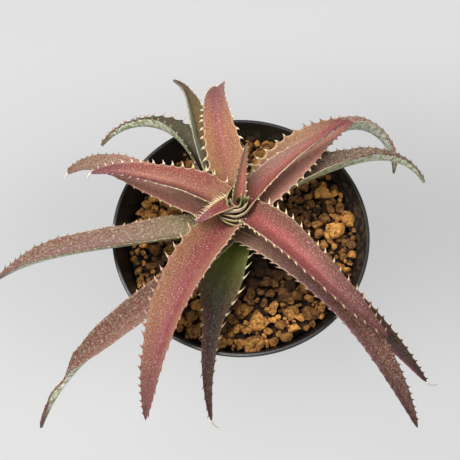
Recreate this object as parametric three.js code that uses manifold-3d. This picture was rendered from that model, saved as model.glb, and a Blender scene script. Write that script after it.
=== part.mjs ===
// A potted orthophytum hybrid: a spiny rosette of channelled, arching leaves on a short stem, in a round
// plastic pot filled with fired-clay grains.
// Millimetres, +Z up. The origin is the centre of the pot's underside; the viewer of the plant stands at -Y.
import * as THREE from "three";
import { mergeVertices } from "three/addons/utils/BufferGeometryUtils.js";
import Module from "manifold-3d";

const wasm = await Module();
wasm.setup();

const CLEARANCE = 0.3; // left between pieces that touch on the real plant

const POT = {
  height: 72,
  rimRadius: 45,
  lipWidth: 1.3,
  lipHeight: 1.2,
  lipRound: 0.3,
  collarTopRadius: 44.4, // just below the lip
  collarBottomRadius: 42.3,
  collarBottom: 62, // height
  collarStep: 0.6, // the wall below the collar lies this much inside it
  wall: 1,
  baseRadius: 27.2,
  baseThickness: 1.6,
  baseCorner: 1,
  footChamfer: 0.8,
  sides: 44,
};
const DRAIN = { count: 6, radius: 3.5, ring: 19, sides: 12 };

const SOIL = {
  level: 63.5, // mean height of the surface
  rise: 2.6, // how much higher the surface lies at the +X wall than in the middle
  bedDepth: 0.8, // the bed between the grains lies this much lower
  grains: 84,
  grainSize: 8,
  grainSpread: 0.35,
  standing: 0.14, // height of a grain's middle above the surface, as a part of its size
  flatness: 0.3, // how much shorter than its length a grain's width and thickness may be
  jitter: 0.25, // radians
  seed: 7,
};
// The large grains that stand out: place and longest diameter.
const LARGE_GRAINS = [
  { at: [7, -30], size: 8.4 },
  { at: [5.5, -38.5], size: 7.6 },
  { at: [25, -27.5], size: 6.2 },
  { at: [18, -27], size: 6 },
  { at: [33, 4], size: 7.6 },
  { at: [30, 18], size: 6.4 },
  { at: [38.5, 8], size: 6 },
  { at: [-28, -22], size: 6.6 },
  { at: [-34, 8], size: 6.4 },
];

const STEM = {
  x: -1,
  y: 1,
  top: 88.6,
  topRadius: 1.4,
  neck: 84,
  radius: 3.6,
  rootTop: 60,
  rootTip: 44,
  rootTipRadius: 1.2,
  sides: 16,
};

const BLADE = {
  thickness: 2, // in the middle, near the base
  tipThickness: 0.9,
  edge: 0.7, // at the margins
  keel: 0.1, // how much thicker the middle is at least, however deep the fold
  teethFrom: 0.13, // fraction of the length where the teeth start and end
  teethTo: 0.97,
  toothTip: 0.3, // parts of a tooth's share of the margin: where its tip is rooted, where it ends, its lean
  toothEnd: 0.62,
  toothLean: 0.25,
  toothShrink: 0.45, // how much shorter the last tooth is than the first
};

// Each leaf, youngest first. base is the height where it leaves the stem. widths are taken at the base, the
// three quarters and the tip; headings (from +X, anticlockwise), pitches (above the horizontal) and rolls
// (left margin up) are taken at the base, the two thirds and the tip. fold is the rise of each half blade.
const LEAVES = [
  // the tiny new leaf in the heart
  { name: "leaf_01", base: 89.6, length: 7, widths: [3, 3.4, 3, 2.2, 0.8],
    headings: [60, 60, 62, 64], pitches: [84, 80, 74, 70], rolls: [0, 0, 0, 0], fold: 40,
    teeth: 3, toothLength: 0.6 },
  // two small leaves beside it: one upright, one low and purple
  { name: "leaf_02", base: 90, length: 22, widths: [5, 5.6, 4.4, 2.6, 0.8],
    headings: [74, 77, 80, 82], pitches: [72, 60, 52, 46], rolls: [0, 0, 0, 0], fold: 35,
    teeth: 6, toothLength: 0.9 },
  { name: "leaf_03", base: 89, length: 19, widths: [6, 7, 6, 4, 0.8],
    headings: [214, 222, 224, 216], pitches: [36, 30, 22, 8], rolls: [0, 0, 0, 0], fold: 26,
    teeth: 7, toothLength: 1.5 },
  // the young coloured leaves, which rise and then arch
  { name: "leaf_04", base: 87.5, length: 46.5, widths: [8, 9.5, 8, 4.5, 0.8],
    headings: [42, 37, 37, 50], pitches: [38, 28, 8, -18], rolls: [-4, -20, -32, -48], fold: 29,
    teeth: 9, toothLength: 1.8 },
  { name: "leaf_05", base: 87, length: 51, widths: [8, 13, 12.5, 8, 2],
    headings: [119, 108, 100, 82], pitches: [62, 36, 0, -45], rolls: [-4, -8, -12, -14], fold: 32,
    teeth: 10, toothLength: 2 },
  { name: "leaf_06", base: 85.5, length: 67.5, widths: [9, 13.5, 11, 7.5, 1],
    headings: [-41, -46, -42, -24], pitches: [36, 16, -10, -41], rolls: [6, -6, -7, -6], fold: 36,
    teeth: 11, toothLength: 2 },
  { name: "leaf_07", base: 86, length: 56, widths: [8, 10.5, 8.5, 5, 0.8],
    headings: [170, 171, 166, 172], pitches: [46, 19, -11, -38], rolls: [8, 5, -6, -8], fold: 39,
    teeth: 10, toothLength: 2 },
  { name: "leaf_08", base: 85.5, length: 82.5, widths: [9.5, 15.5, 14.5, 9, 1],
    headings: [240, 245, 254, 259], pitches: [30, 11, -20, -61], rolls: [0, 16, 24, 12], fold: 36,
    teeth: 12, toothLength: 2 },
  { name: "leaf_09", base: 83.5, length: 55, widths: [9, 14.5, 14, 8.5, 1],
    headings: [42, 44, 42, 36], pitches: [28, 18, -4, -34], rolls: [10, 12, 6, 2], fold: 29,
    teeth: 10, toothLength: 2 },
  // the old leaves, which hang over the rim
  { name: "leaf_10", base: 80, length: 70, widths: [8, 12, 12.5, 8, 1],
    headings: [182, 159, 156, 186], pitches: [30, 8, -15, -47], rolls: [-4, 5, 8, -4], fold: 30,
    teeth: 11, toothLength: 1.9 },
  { name: "leaf_11", base: 79.5, length: 98, widths: [9, 11.5, 10, 7, 0.8],
    headings: [-47, -42, -50, -52], pitches: [24, 4, -25, -49], rolls: [18, 4, 0, 10], fold: 36,
    teeth: 13, toothLength: 1.9 },
  { name: "leaf_12", base: 79.5, length: 79, widths: [8, 10.5, 10.5, 6, 0.8],
    headings: [32, 25, 17, -30], pitches: [30, 8, -17, -51], rolls: [-24, -38, -40, -40], fold: 41,
    teeth: 11, toothLength: 1.9 },
  { name: "leaf_13", base: 78, length: 70, widths: [8, 10, 8.5, 5.5, 0.8],
    headings: [124, 112, 108, 127], pitches: [30, 7, -17, -31], rolls: [44, 50, 46, 24], fold: 34,
    teeth: 10, toothLength: 1.8 },
  { name: "leaf_14", base: 77, length: 87, widths: [8, 10.5, 9.5, 6.5, 0.8],
    headings: [-36, -39, -39, -35], pitches: [22, 4, -19, -42], rolls: [0, 5, 12, 26], fold: 45,
    teeth: 11, toothLength: 1.8 },
  { name: "leaf_15", base: 76, length: 92, widths: [8, 12.5, 11.5, 10, 1],
    headings: [203, 192, 188, 197], pitches: [18, 0, -18, -37], rolls: [14, 24, 30, 34], fold: 38,
    teeth: 12, toothLength: 1.8 },
  { name: "leaf_16", base: 75.5, length: 89.5, widths: [8, 9, 7.5, 5.5, 0.8],
    headings: [43, 46, 22, -82], pitches: [27, 11, -33, -51], rolls: [-10, -26, -38, -40], fold: 38,
    teeth: 11, toothLength: 1.6 },
  { name: "leaf_17", base: 74.5, length: 78.5, widths: [8, 11.5, 11, 5, 0.8],
    headings: [134, 124, 160, 205], pitches: [28, 11, -26, -50], rolls: [10, 32, 46, 43], fold: 39,
    teeth: 11, toothLength: 1.8 },
  { name: "leaf_18", base: 75, length: 103, widths: [8, 10, 10.5, 4.6, 0.8],
    headings: [240, 224, 218, 246], pitches: [17, 0, -27, -42], rolls: [8, 22, 36, 56], fold: 42,
    teeth: 12, toothLength: 1.7 },
  { name: "leaf_19", base: 72, length: 72, widths: [9, 15, 9, 3.6, 0.8],
    headings: [256, 260, 267, 284], pitches: [18, 5, -23, -54], rolls: [0, 0, 0, 0], fold: 36,
    teeth: 10, toothLength: 1.7 },
];

const YOUNG_LEAVES = 9; // the first of the leaves, heart included; the rest are old

const MATERIALS = {
  pot: new THREE.MeshStandardMaterial({ color: 0x141414, roughness: 0.35, metalness: 0 }),
  soil: new THREE.MeshStandardMaterial({ color: 0xa8743c, roughness: 0.95, metalness: 0 }),
  stem: new THREE.MeshStandardMaterial({ color: 0x6b5a34, roughness: 0.8, metalness: 0 }),
  heartLeaf: new THREE.MeshStandardMaterial({ color: 0xcdb894, roughness: 0.6, metalness: 0 }),
  youngLeaf: new THREE.MeshStandardMaterial({ color: 0xa8545a, roughness: 0.6, metalness: 0 }),
  oldLeaf: new THREE.MeshStandardMaterial({ color: 0x75605a, roughness: 0.7, metalness: 0 }),
  darkLeaf: new THREE.MeshStandardMaterial({ color: 0x2a2228, roughness: 0.6, metalness: 0 }),
};

// Solids and meshes

function solidOf(geometry) {
  const bare = geometry.clone();
  bare.deleteAttribute("normal");
  bare.deleteAttribute("uv");
  const merged = mergeVertices(bare, 1e-4);
  return new wasm.Manifold(
    new wasm.Mesh({
      numProp: 3,
      vertProperties: new Float32Array(merged.attributes.position.array),
      triVerts: new Uint32Array(merged.index.array),
    }),
  );
}

function geometryOf(solid) {
  const mesh = solid.getMesh();
  const geometry = new THREE.BufferGeometry();
  geometry.setAttribute("position", new THREE.BufferAttribute(mesh.vertProperties, 3));
  geometry.setIndex(new THREE.BufferAttribute(mesh.triVerts, 1));
  geometry.computeVertexNormals();
  return geometry;
}

function largestBody(solid) {
  return solid.decompose().sort((a, b) => b.volume() - a.volume())[0];
}

function overlaps(boxA, boxB) {
  return [0, 1, 2].every((k) => boxA.min[k] < boxB.max[k] && boxB.min[k] < boxA.max[k]);
}

// A solid of revolution round a vertical axis, from [radius, height] points that start and end on the axis.
function turned(points, sides, x = 0, y = 0) {
  const profile = points.map(([radius, height]) => new THREE.Vector2(radius, height));
  const geometry = new THREE.LatheGeometry(profile, sides);
  geometry.rotateX(Math.PI / 2);
  geometry.translate(x, y, 0);
  return solidOf(geometry);
}

// Numbers between 0 and 1 that are the same on every run.
function seededRandom(seed) {
  let state = seed;
  return () => {
    state = (state * 16807) % 2147483647;
    return state / 2147483647;
  };
}

// Evenly spaced values, read off anywhere between them along a smooth curve.
function along(values, fraction) {
  const last = values.length - 1;
  const place = Math.min(fraction, 0.999999) * last;
  const i = Math.floor(place);
  const u = place - i;
  const b = values[i];
  const c = values[i + 1];
  const a = i > 0 ? values[i - 1] : 2 * b - c;
  const d = i + 2 <= last ? values[i + 2] : 2 * c - b;
  return 0.5 * (2 * b + (c - a) * u + (2 * a - 5 * b + 4 * c - d) * u * u + (3 * b - a - 3 * c + d) * u ** 3);
}

// Pot

const lipBottom = POT.height - POT.lipHeight;
const wallTopRadius = POT.collarBottomRadius - POT.collarStep;

function between(height, [radiusA, heightA], [radiusB, heightB]) {
  return radiusA + ((radiusB - radiusA) * (height - heightA)) / (heightB - heightA);
}

function innerRadius(height) {
  const outside =
    height < POT.collarBottom
      ? between(height, [POT.baseRadius, 0], [wallTopRadius, POT.collarBottom])
      : between(height, [POT.collarBottomRadius, POT.collarBottom], [POT.collarTopRadius, lipBottom]);
  return outside - POT.wall;
}

function makePot() {
  const { height, rimRadius, lipRound, baseRadius, baseThickness, baseCorner, footChamfer } = POT;
  const floorCorner = baseThickness + baseCorner;
  let pot = turned(
    [
      [0, 0],
      [baseRadius - footChamfer, 0],
      [baseRadius, footChamfer],
      [wallTopRadius, POT.collarBottom - POT.collarStep],
      [POT.collarBottomRadius, POT.collarBottom],
      [POT.collarTopRadius, lipBottom - lipRound],
      [rimRadius, lipBottom],
      [rimRadius, height - lipRound],
      [rimRadius - lipRound, height],
      [rimRadius - POT.lipWidth, height],
      [innerRadius(lipBottom), lipBottom],
      [innerRadius(POT.collarBottom) - POT.collarStep, POT.collarBottom - POT.collarStep],
      [innerRadius(floorCorner), floorCorner],
      [innerRadius(baseThickness) - baseCorner, baseThickness],
      [0, baseThickness],
    ],
    POT.sides,
  );
  for (let i = 0; i < DRAIN.count; i++) {
    const angle = (2 * Math.PI * (i + 0.5)) / DRAIN.count;
    const hole = new THREE.CylinderGeometry(DRAIN.radius, DRAIN.radius, 4 * baseThickness, DRAIN.sides);
    hole.rotateX(Math.PI / 2);
    hole.translate(DRAIN.ring * Math.cos(angle), DRAIN.ring * Math.sin(angle), baseThickness / 2);
    pot = pot.subtract(solidOf(hole));
  }
  return pot;
}

// Stem

function makeStem(spread = 0) {
  return turned(
    [
      [0, STEM.rootTip - spread],
      [STEM.rootTipRadius + spread, STEM.rootTip - spread],
      [STEM.radius + spread, STEM.rootTop],
      [STEM.radius + spread, STEM.neck],
      [STEM.topRadius + spread, STEM.top + spread],
      [0, STEM.top + spread],
    ],
    STEM.sides,
    STEM.x,
    STEM.y,
  );
}

// Potting mix

function soilLevel(x) {
  return SOIL.level + (SOIL.rise * x) / POT.rimRadius;
}

// Everything above the tilted surface that the grains lie in.
function aboveSoil() {
  const size = 4 * POT.rimRadius;
  const block = new THREE.BoxGeometry(size, size, size);
  block.translate(0, 0, size / 2);
  block.rotateY(-Math.atan(SOIL.rise / POT.rimRadius));
  block.translate(0, 0, SOIL.level - SOIL.bedDepth);
  return solidOf(block);
}

// The room inside the pot, up to the lip.
function potInside() {
  const floor = POT.baseThickness + CLEARANCE;
  const corner = POT.baseThickness + POT.baseCorner;
  return turned(
    [
      [0, floor],
      [innerRadius(POT.baseThickness) - POT.baseCorner - CLEARANCE, floor],
      [innerRadius(corner) - CLEARANCE, corner + CLEARANCE],
      [innerRadius(POT.collarBottom) - POT.collarStep - CLEARANCE, POT.collarBottom - POT.collarStep],
      [innerRadius(lipBottom) - CLEARANCE, lipBottom],
      [0, lipBottom],
    ],
    POT.sides,
  );
}

// A rounded stone with flat facets.
function makeGrain(x, y, size, random) {
  const grain = new THREE.IcosahedronGeometry(size / 2, 0);
  const width = 1 - SOIL.flatness * random();
  const thickness = 1 - SOIL.flatness * random();
  grain.rotateX(2 * Math.PI * random());
  grain.rotateY(2 * Math.PI * random());
  grain.scale(1, width, thickness);
  grain.rotateZ(2 * Math.PI * random());
  grain.translate(x, y, soilLevel(x) + size * SOIL.standing);
  return solidOf(grain);
}

function makeSoil(stemRoom) {
  const random = seededRandom(SOIL.seed);
  const inside = potInside();
  const bed = inside.subtract(aboveSoil());
  const grains = LARGE_GRAINS.map(({ at, size }) => makeGrain(at[0], at[1], size, random));
  const goldenAngle = Math.PI * (3 - Math.sqrt(5));
  const edge = innerRadius(SOIL.level) - SOIL.grainSize / 2;
  for (let i = 0; i < SOIL.grains; i++) {
    const size = SOIL.grainSize * (1 - SOIL.grainSpread * random());
    const radius = edge * Math.sqrt((i + 0.5) / SOIL.grains);
    const angle = i * goldenAngle + SOIL.jitter * random();
    const x = radius * Math.cos(angle);
    const y = radius * Math.sin(angle);
    const free = LARGE_GRAINS.every(({ at }) => Math.hypot(x - at[0], y - at[1]) > SOIL.grainSize / 2);
    if (free) grains.push(makeGrain(x, y, size, random));
  }
  return largestBody(wasm.Manifold.union([bed, ...grains]).intersect(inside).subtract(stemRoom));
}

// Leaves

// The middle line of a blade with the directions across it and out of its upper face.
function bladeLine(leaf, fractions) {
  const steps = 240;
  const point = new THREE.Vector3(STEM.x, STEM.y, leaf.base);
  const samples = [];
  for (let i = 0; i <= steps; i++) {
    const fraction = i / steps;
    const heading = THREE.MathUtils.degToRad(along(leaf.headings, fraction));
    const pitch = THREE.MathUtils.degToRad(along(leaf.pitches, fraction));
    const roll = THREE.MathUtils.degToRad(along(leaf.rolls, fraction));
    const forward = new THREE.Vector3(
      Math.cos(pitch) * Math.cos(heading),
      Math.cos(pitch) * Math.sin(heading),
      Math.sin(pitch),
    );
    const level = new THREE.Vector3(-Math.sin(heading), Math.cos(heading), 0);
    const above = forward.clone().cross(level);
    const across = level.clone().multiplyScalar(Math.cos(roll)).addScaledVector(above, Math.sin(roll));
    const out = above.multiplyScalar(Math.cos(roll)).addScaledVector(level, -Math.sin(roll));
    if (i > 0) point.addScaledVector(forward, leaf.length / steps);
    samples.push({ point: point.clone(), forward, across, out });
  }
  return fractions.map((fraction) => samples[Math.round(fraction * steps)]);
}

// Stations along the blade: for each tooth the bottom of the scallop, the tip and the end of the tooth.
function bladeStations(leaf) {
  const stations = [{ at: 0, tooth: 0 }, { at: BLADE.teethFrom / 2, tooth: 0 }];
  const step = (BLADE.teethTo - BLADE.teethFrom) / leaf.teeth;
  for (let i = 0; i < leaf.teeth; i++) {
    const start = BLADE.teethFrom + i * step;
    const size = 1 - BLADE.toothShrink * (i / leaf.teeth);
    stations.push({ at: start, tooth: 0 });
    stations.push({ at: start + BLADE.toothTip * step, tooth: size });
    stations.push({ at: start + BLADE.toothEnd * step, tooth: 0 });
  }
  stations.push({ at: BLADE.teethTo, tooth: 0 }, { at: 1, tooth: 0 });
  return stations;
}

// A channelled blade with toothed margins, as rings of six points: the upper face's left margin, middle and
// right margin, then the lower face's. spread makes it thicker and wider all round.
function makeBlade(leaf, spread = 0) {
  const stations = bladeStations(leaf);
  const lines = bladeLine(leaf, stations.map((station) => station.at));
  const fold = THREE.MathUtils.degToRad(leaf.fold);
  const toothShare = (leaf.length * (BLADE.teethTo - BLADE.teethFrom)) / leaf.teeth;
  const positions = [];
  stations.forEach((station, i) => {
    const { point, forward, across, out } = lines[i];
    const half = along(leaf.widths, station.at) / 2;
    const edge = BLADE.edge / Math.cos(fold);
    const lower = THREE.MathUtils.lerp(BLADE.thickness, BLADE.tipThickness, station.at);
    const thickness = Math.max(lower, edge + BLADE.keel);
    const reach = half + station.tooth * leaf.toothLength + spread;
    const lean = station.tooth > 0 ? BLADE.toothLean * toothShare : 0;
    const end = (i === stations.length - 1 ? spread : 0) - (i === 0 ? spread : 0);
    const ring = [
      [reach * Math.cos(fold), reach * Math.sin(fold), 0, lean],
      [0, 0, 0, 0],
      [-reach * Math.cos(fold), reach * Math.sin(fold), 0, lean],
      [-reach * Math.cos(fold), reach * Math.sin(fold), edge, lean],
      [0, 0, thickness, 0],
      [reach * Math.cos(fold), reach * Math.sin(fold), edge, lean],
    ];
    ring.forEach(([side, rise, depth, ahead]) => {
      const lift = rise - depth + ((depth > 0 ? -1 : 1) * spread) / Math.cos(fold);
      const vertex = point.clone();
      vertex.addScaledVector(across, side);
      vertex.addScaledVector(out, lift);
      vertex.addScaledVector(forward, ahead + end);
      positions.push(...vertex.toArray());
    });
  });
  const faces = [];
  const ringSize = 6;
  for (let i = 0; i + 1 < stations.length; i++) {
    for (let k = 0; k < ringSize; k++) {
      const a = i * ringSize + k;
      const b = i * ringSize + ((k + 1) % ringSize);
      const c = a + ringSize;
      const d = b + ringSize;
      // the two faces of the blade are split along the same lines
      if (k < 3) faces.push(a, b, d, a, d, c);
      else faces.push(a, b, c, b, d, c);
    }
  }
  const tip = (stations.length - 1) * ringSize;
  [[0, 1, 4], [0, 4, 5], [1, 2, 3], [1, 3, 4]].forEach(([a, b, c]) => {
    faces.push(a, c, b);
    faces.push(tip + a, tip + b, tip + c);
  });
  const geometry = new THREE.BufferGeometry();
  geometry.setAttribute("position", new THREE.Float32BufferAttribute(positions, 3));
  geometry.setIndex(faces);
  return solidOf(geometry);
}

// Every leaf gives way to the stem and to the younger leaves above it, where their bases are packed together.
function makeLeaves(stemRoom) {
  const rooms = LEAVES.map((leaf) => makeBlade(leaf, CLEARANCE));
  return LEAVES.map((leaf, i) => {
    const blade = makeBlade(leaf);
    const box = blade.boundingBox();
    const younger = rooms.slice(0, i).filter((room) => overlaps(box, room.boundingBox()));
    return largestBody(wasm.Manifold.difference([blade, stemRoom, ...younger]));
  });
}

// Assembly

function addPiece(group, name, solid, material) {
  const mesh = new THREE.Mesh(geometryOf(solid), material);
  mesh.name = name;
  group.add(mesh);
}

function leafMaterial(index) {
  if (index === 0) return MATERIALS.heartLeaf;
  if (index === LEAVES.length - 1) return MATERIALS.darkLeaf;
  return index < YOUNG_LEAVES ? MATERIALS.youngLeaf : MATERIALS.oldLeaf;
}

const stemRoom = makeStem(CLEARANCE);

const container = new THREE.Group();
addPiece(container, "pot", makePot(), MATERIALS.pot);
addPiece(container, "potting_mix", makeSoil(stemRoom), MATERIALS.soil);

const plant = new THREE.Group();
addPiece(plant, "stem", makeStem(), MATERIALS.stem);
makeLeaves(stemRoom).forEach((solid, i) => addPiece(plant, LEAVES[i].name, solid, leafMaterial(i)));

const pottedPlant = new THREE.Group();
pottedPlant.add(container, plant);

export default pottedPlant;
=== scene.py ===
"""A potted orthophytum hybrid: a spiny rosette of arching leaves in a black pot of fired-clay grains.

The frame is in metres. Lengths in the tables below are millimetres, as in the part's own drawing.
"""

import math
import random

import bpy
from mathutils import Euler, Matrix, Vector, noise


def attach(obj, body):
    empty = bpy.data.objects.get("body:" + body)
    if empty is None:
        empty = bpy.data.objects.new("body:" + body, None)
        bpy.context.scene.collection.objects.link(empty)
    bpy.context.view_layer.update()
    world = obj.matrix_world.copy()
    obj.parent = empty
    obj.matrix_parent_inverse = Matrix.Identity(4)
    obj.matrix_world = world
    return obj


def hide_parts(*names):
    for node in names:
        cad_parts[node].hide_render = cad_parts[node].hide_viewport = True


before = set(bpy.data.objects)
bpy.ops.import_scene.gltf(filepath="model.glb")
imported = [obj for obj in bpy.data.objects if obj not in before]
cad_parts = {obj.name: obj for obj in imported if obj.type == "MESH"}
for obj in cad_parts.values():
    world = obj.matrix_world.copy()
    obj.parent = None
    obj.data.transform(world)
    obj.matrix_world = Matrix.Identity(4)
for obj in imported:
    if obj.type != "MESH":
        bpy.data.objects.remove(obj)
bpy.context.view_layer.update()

bl_info = {
    "name": "Potted orthophytum",
    "version": (1, 0, 0),
    "blender": (4, 5, 0),
    "location": "3D View > Sidebar > Potted plant",
    "description": "Models a spiny bromeliad in its nursery pot",
    "category": "Add Mesh",
}

MM = 0.001
BODY = "root"

# Pot, radii and heights

RIM_RADIUS = 45.0
RIM_HEIGHT = 72.0
LIP_WIDTH = 1.3
LIP_BOTTOM = 70.8
LIP_FLARE = 0.3
COLLAR_TOP_RADIUS = 44.4
COLLAR_BOTTOM_RADIUS = 42.3
COLLAR_BOTTOM = 62.0
COLLAR_STEP = 0.6
BASE_RADIUS = 27.2
WALL = 1.0
FLOOR = 1.6
FLOOR_CORNER = 1.0
FOOT_CHAMFER = 0.8
EDGE_ROUNDING = 0.35
DRAIN_HOLES = 6
DRAIN_RADIUS = 3.5
DRAIN_RING = 19.0

# Potting mix, whose surface slopes up towards +X

SOIL_LEVEL = 63.5
SOIL_RISE = 2.6  # from the middle to the rim
CLEARANCE = 0.3
BED_DEPTH = 4.2  # of the fine mix below the surface of the grains
BED_RINGS = 12
# Layers of grains: height of their middles above the surface, closeness, share of the setting's grains
GRAIN_LAYERS = [(0.5, 0.82, 0.6), (-1.6, 0.8, 0.3), (-3.6, 0.8, 0.3)]
LUMP_SHAPES = 16
LUMP_CUTS = 6
PAINTED_SHADE_FROM, PAINTED_SHADE_TO = 14, 34  # distances from the stem over which the painted shade of the leaves on the grains fades out
PAINTED_SHADE_DEPTH = 1.9  # depth below the top layer at which the grains' painted shade is darkest
LARGE_GRAINS = [  # x, y, longest diameter
    (7, -30, 8.4),
    (5.5, -38.5, 7.6),
    (25, -27.5, 6.2),
    (18, -27, 6.0),
    (33, 4, 7.6),
    (30, 18, 6.4),
    (38.5, 8, 6.0),
    (-28, -22, 6.6),
    (-34, 8, 6.4),
]

# Stem

STEM_AXIS = (-1.0, 1.0)
STEM_RADIUS = 3.6
STEM_RINGS = 50
RING_SPACING = 0.9
SCAR_DEPTH = 0.22  # at every third ring
STEM_PROFILE = [(1.2, 44), (3.0, 56), (3.4, 62), (3.6, 72), (3.6, 82), (2.4, 86), (1.4, 88.6)]

# Blades and spines

STATION_STEP = 0.22
TOP_POINTS = 17
UNDER_POINTS = 13
CHANNEL_POWER = 1.35
THICKNESS = (2.0, 0.9)  # in the middle, at the base and at the tip
EDGE = 0.5
EDGE_BULGE = 0.3  # share of the edge's thickness
WAVE_HEIGHT = 0.35  # of the margins, up or down
WAVE_LENGTH = 6
PINCH_REACH = 0.045  # share of the length
SKEW_FROM = 0.78  # share of the length
TIP_FROM = 0.965  # share where the end is rounded
LAST_SPINE = 0.985
SHORTEST_SPINE = 0.3
SPINE_ROOT = 0.35  # how deep a spine is rooted in the margin
SPINE_RINGS = (0.0, 0.22, 0.5, 0.8)  # shares of a spine's length
SPACING_SPREAD = (0.78, 1.22)  # factors between which the spines' spacing varies
LENGTH_SPREAD = (0.85, 1.15)  # factors between which their length varies
LEAN_SPREAD = 9  # degrees
THREAD_STEPS = 14
SHEATH_STEPS = 40
SHEATH_DEPTH = 4.0
NEXT_LEAF = 40.0  # how far apart the patterns of two leaves are read
UPPER, UNDER, SPINE, THREAD = range(4)

# Base colours in linear light

PALETTE = {
    "cream": (0.74, 0.62, 0.36),
    "pale": (0.74, 0.64, 0.50),
    "sheath": (0.52, 0.44, 0.20),
    "tan": (0.40, 0.185, 0.080),
    "amber": (0.44, 0.19, 0.085),
    "copper": (0.29, 0.120, 0.052),
    "coral": (0.33, 0.088, 0.060),
    "salmon": (0.36, 0.130, 0.085),
    "rose": (0.27, 0.072, 0.055),
    "crimson": (0.235, 0.042, 0.043),
    "wine": (0.17, 0.036, 0.042),
    "mauve": (0.20, 0.066, 0.080),
    "dusty pink": (0.32, 0.135, 0.110),
    "greyrose": (0.23, 0.098, 0.075),
    "clay": (0.20, 0.072, 0.046),
    "brown": (0.125, 0.055, 0.032),
    "umber": (0.062, 0.034, 0.020),
    "stone": (0.19, 0.125, 0.075),
    "olive": (0.15, 0.115, 0.035),
    "moss": (0.085, 0.100, 0.020),
    "dark green": (0.018, 0.026, 0.006),
    "leaf green": (0.24, 0.27, 0.085),
    "pale green": (0.38, 0.43, 0.21),
    "grey green": (0.33, 0.35, 0.20),
    "maroon": (0.070, 0.020, 0.018),
    "plum": (0.055, 0.034, 0.032),
    "black plum": (0.010, 0.008, 0.009),
    "blush": (0.54, 0.35, 0.25),
    "ash rose": (0.41, 0.205, 0.155),
    "fern": (0.270, 0.330, 0.050),
    "bark": (0.19, 0.115, 0.065),
    "faded rose": (0.56, 0.235, 0.175),
    "golden": (0.46, 0.27, 0.110),
    "apricot": (0.52, 0.27, 0.150),
    "ruby": (0.335, 0.066, 0.060),
    "dull gold": (0.12, 0.080, 0.014),
    "soot": (0.043, 0.038, 0.020),
    "khaki": (0.31, 0.28, 0.125),
    "russet": (0.180, 0.058, 0.038),
    "rosy": (0.50, 0.150, 0.110),
    "dark olive": (0.045, 0.038, 0.018),
    "brick": (0.165, 0.054, 0.033),
    "heather": (0.185, 0.080, 0.078),
    "rust red": (0.155, 0.042, 0.024),
    "plum rose": (0.125, 0.047, 0.046),
    "deep wine": (0.120, 0.021, 0.030),
    "rust": (0.075, 0.024, 0.015),
    "sprout": (0.29, 0.31, 0.085),
    "lichen": (0.46, 0.47, 0.33),
    "stain": (0.19, 0.135, 0.075),
    "pale scurf": (0.42, 0.34, 0.26),
    "dark scurf": (0.035, 0.016, 0.014),
    "cream scurf": (0.62, 0.54, 0.42),
    "white scurf": (0.72, 0.72, 0.63),
    "scale": (0.78, 0.56, 0.48),
    # painted shade between the raised scales
    "painted shade between scales": (0.10, 0.025, 0.03),
    "brown dot": (0.10, 0.08, 0.04),
    "pink streak": (0.50, 0.38, 0.29),
    "brown streak": (0.15, 0.09, 0.045),
    "green streak": (0.30, 0.25, 0.085),
    "dark streak": (0.07, 0.06, 0.015),
    "sheath rim": (0.52, 0.44, 0.23),
    # painted shade on the sheaths' lower wall and inner face
    "painted shade at the sheath foot": (0.06, 0.045, 0.016),
    "painted shade inside the sheath": (0.05, 0.05, 0.015),
    "leaf scar": (0.09, 0.05, 0.02),
    "dry bark": (0.30, 0.20, 0.09),
    "scuff": (0.10, 0.095, 0.09),
    "clay stain": (0.66, 0.36, 0.12),
    # painted shade in the grains' pits, hollows and pores
    "painted shade in pits": (0.10, 0.034, 0.006),
    "painted shade in hollows": (0.09, 0.030, 0.006),
    "painted shade in pores": (0.10, 0.04, 0.01),
    # painted shade of the grains near the stem and deep in the heap
    "painted_shade": (0.12, 0.10, 0.08),
    # painted shade of the fine mix in the gaps between the grains
    "mix lump in painted shade": (0.018, 0.009, 0.004),
    "mix gap in painted shade": (0.004, 0.003, 0.002),
}


def leaf(number, base, length, widths, headings, pitches, rolls, fold, **looks):
    """One leaf. widths, headings, pitches and rolls are read at even steps from its base to its tip, in mm
    and degrees. fold is the rise of each half blade, in degrees. looks change DEFAULT_LOOKS."""
    return {
        "node": f"leaf_{number:02d}",
        "base": base,
        "length": length,
        "widths": widths,
        "headings": headings,
        "pitches": pitches,
        "rolls": rolls,
        "fold": fold,
        **DEFAULT_LOOKS,
        **looks,
    }


# What a leaf looks like where LEAVES doesn't say otherwise. Shares are of its length, from its base.
DEFAULT_LOOKS = {
    # sheath, left margin, middle, right margin, tip, underside
    "colours": ("sheath", "tan", "crimson", "rose", "mauve", "leaf green"),
    # spines of a margin: spacing at the base and at the tip, length at the base and at the tip in mm,
    # lean towards the tip in degrees
    "left": (3.6, 2.4, 1.8, 1.0, 5),
    "right": (3.6, 2.4, 1.8, 1.0, 5),
    "deep": 0.45,  # how far the scallops cut in, as a share of the spines' length
    "bare": 0.07,  # share that has no spines
    "hook": 0.25,  # how far the spines' points bend, as a share of their length
    "spines": ("cream", "tan"),  # their colours at the leaf's base and at its tip
    "specks": 1.0,
    "scurf": 0.1,
    "cream_to": 0.35,  # share where the pale line along the margin ends
    "sheath_to": 0.14,  # share where the colour of the sheath ends
    "sheath": (0, 0.2),  # widening of a half blade at the base in mm, and the share where it ends
    "skew": 0,  # how much narrower the left half is at the tip, as a share of its width
    "pinch": (0.8, 0),  # share where the blade is pinched, and how much of its width that takes
    "thread": None,  # the dried tip: its length in mm, and how much it turns and dips
    "tip_start": 0.55,  # share where the tip's colour starts
}

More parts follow.
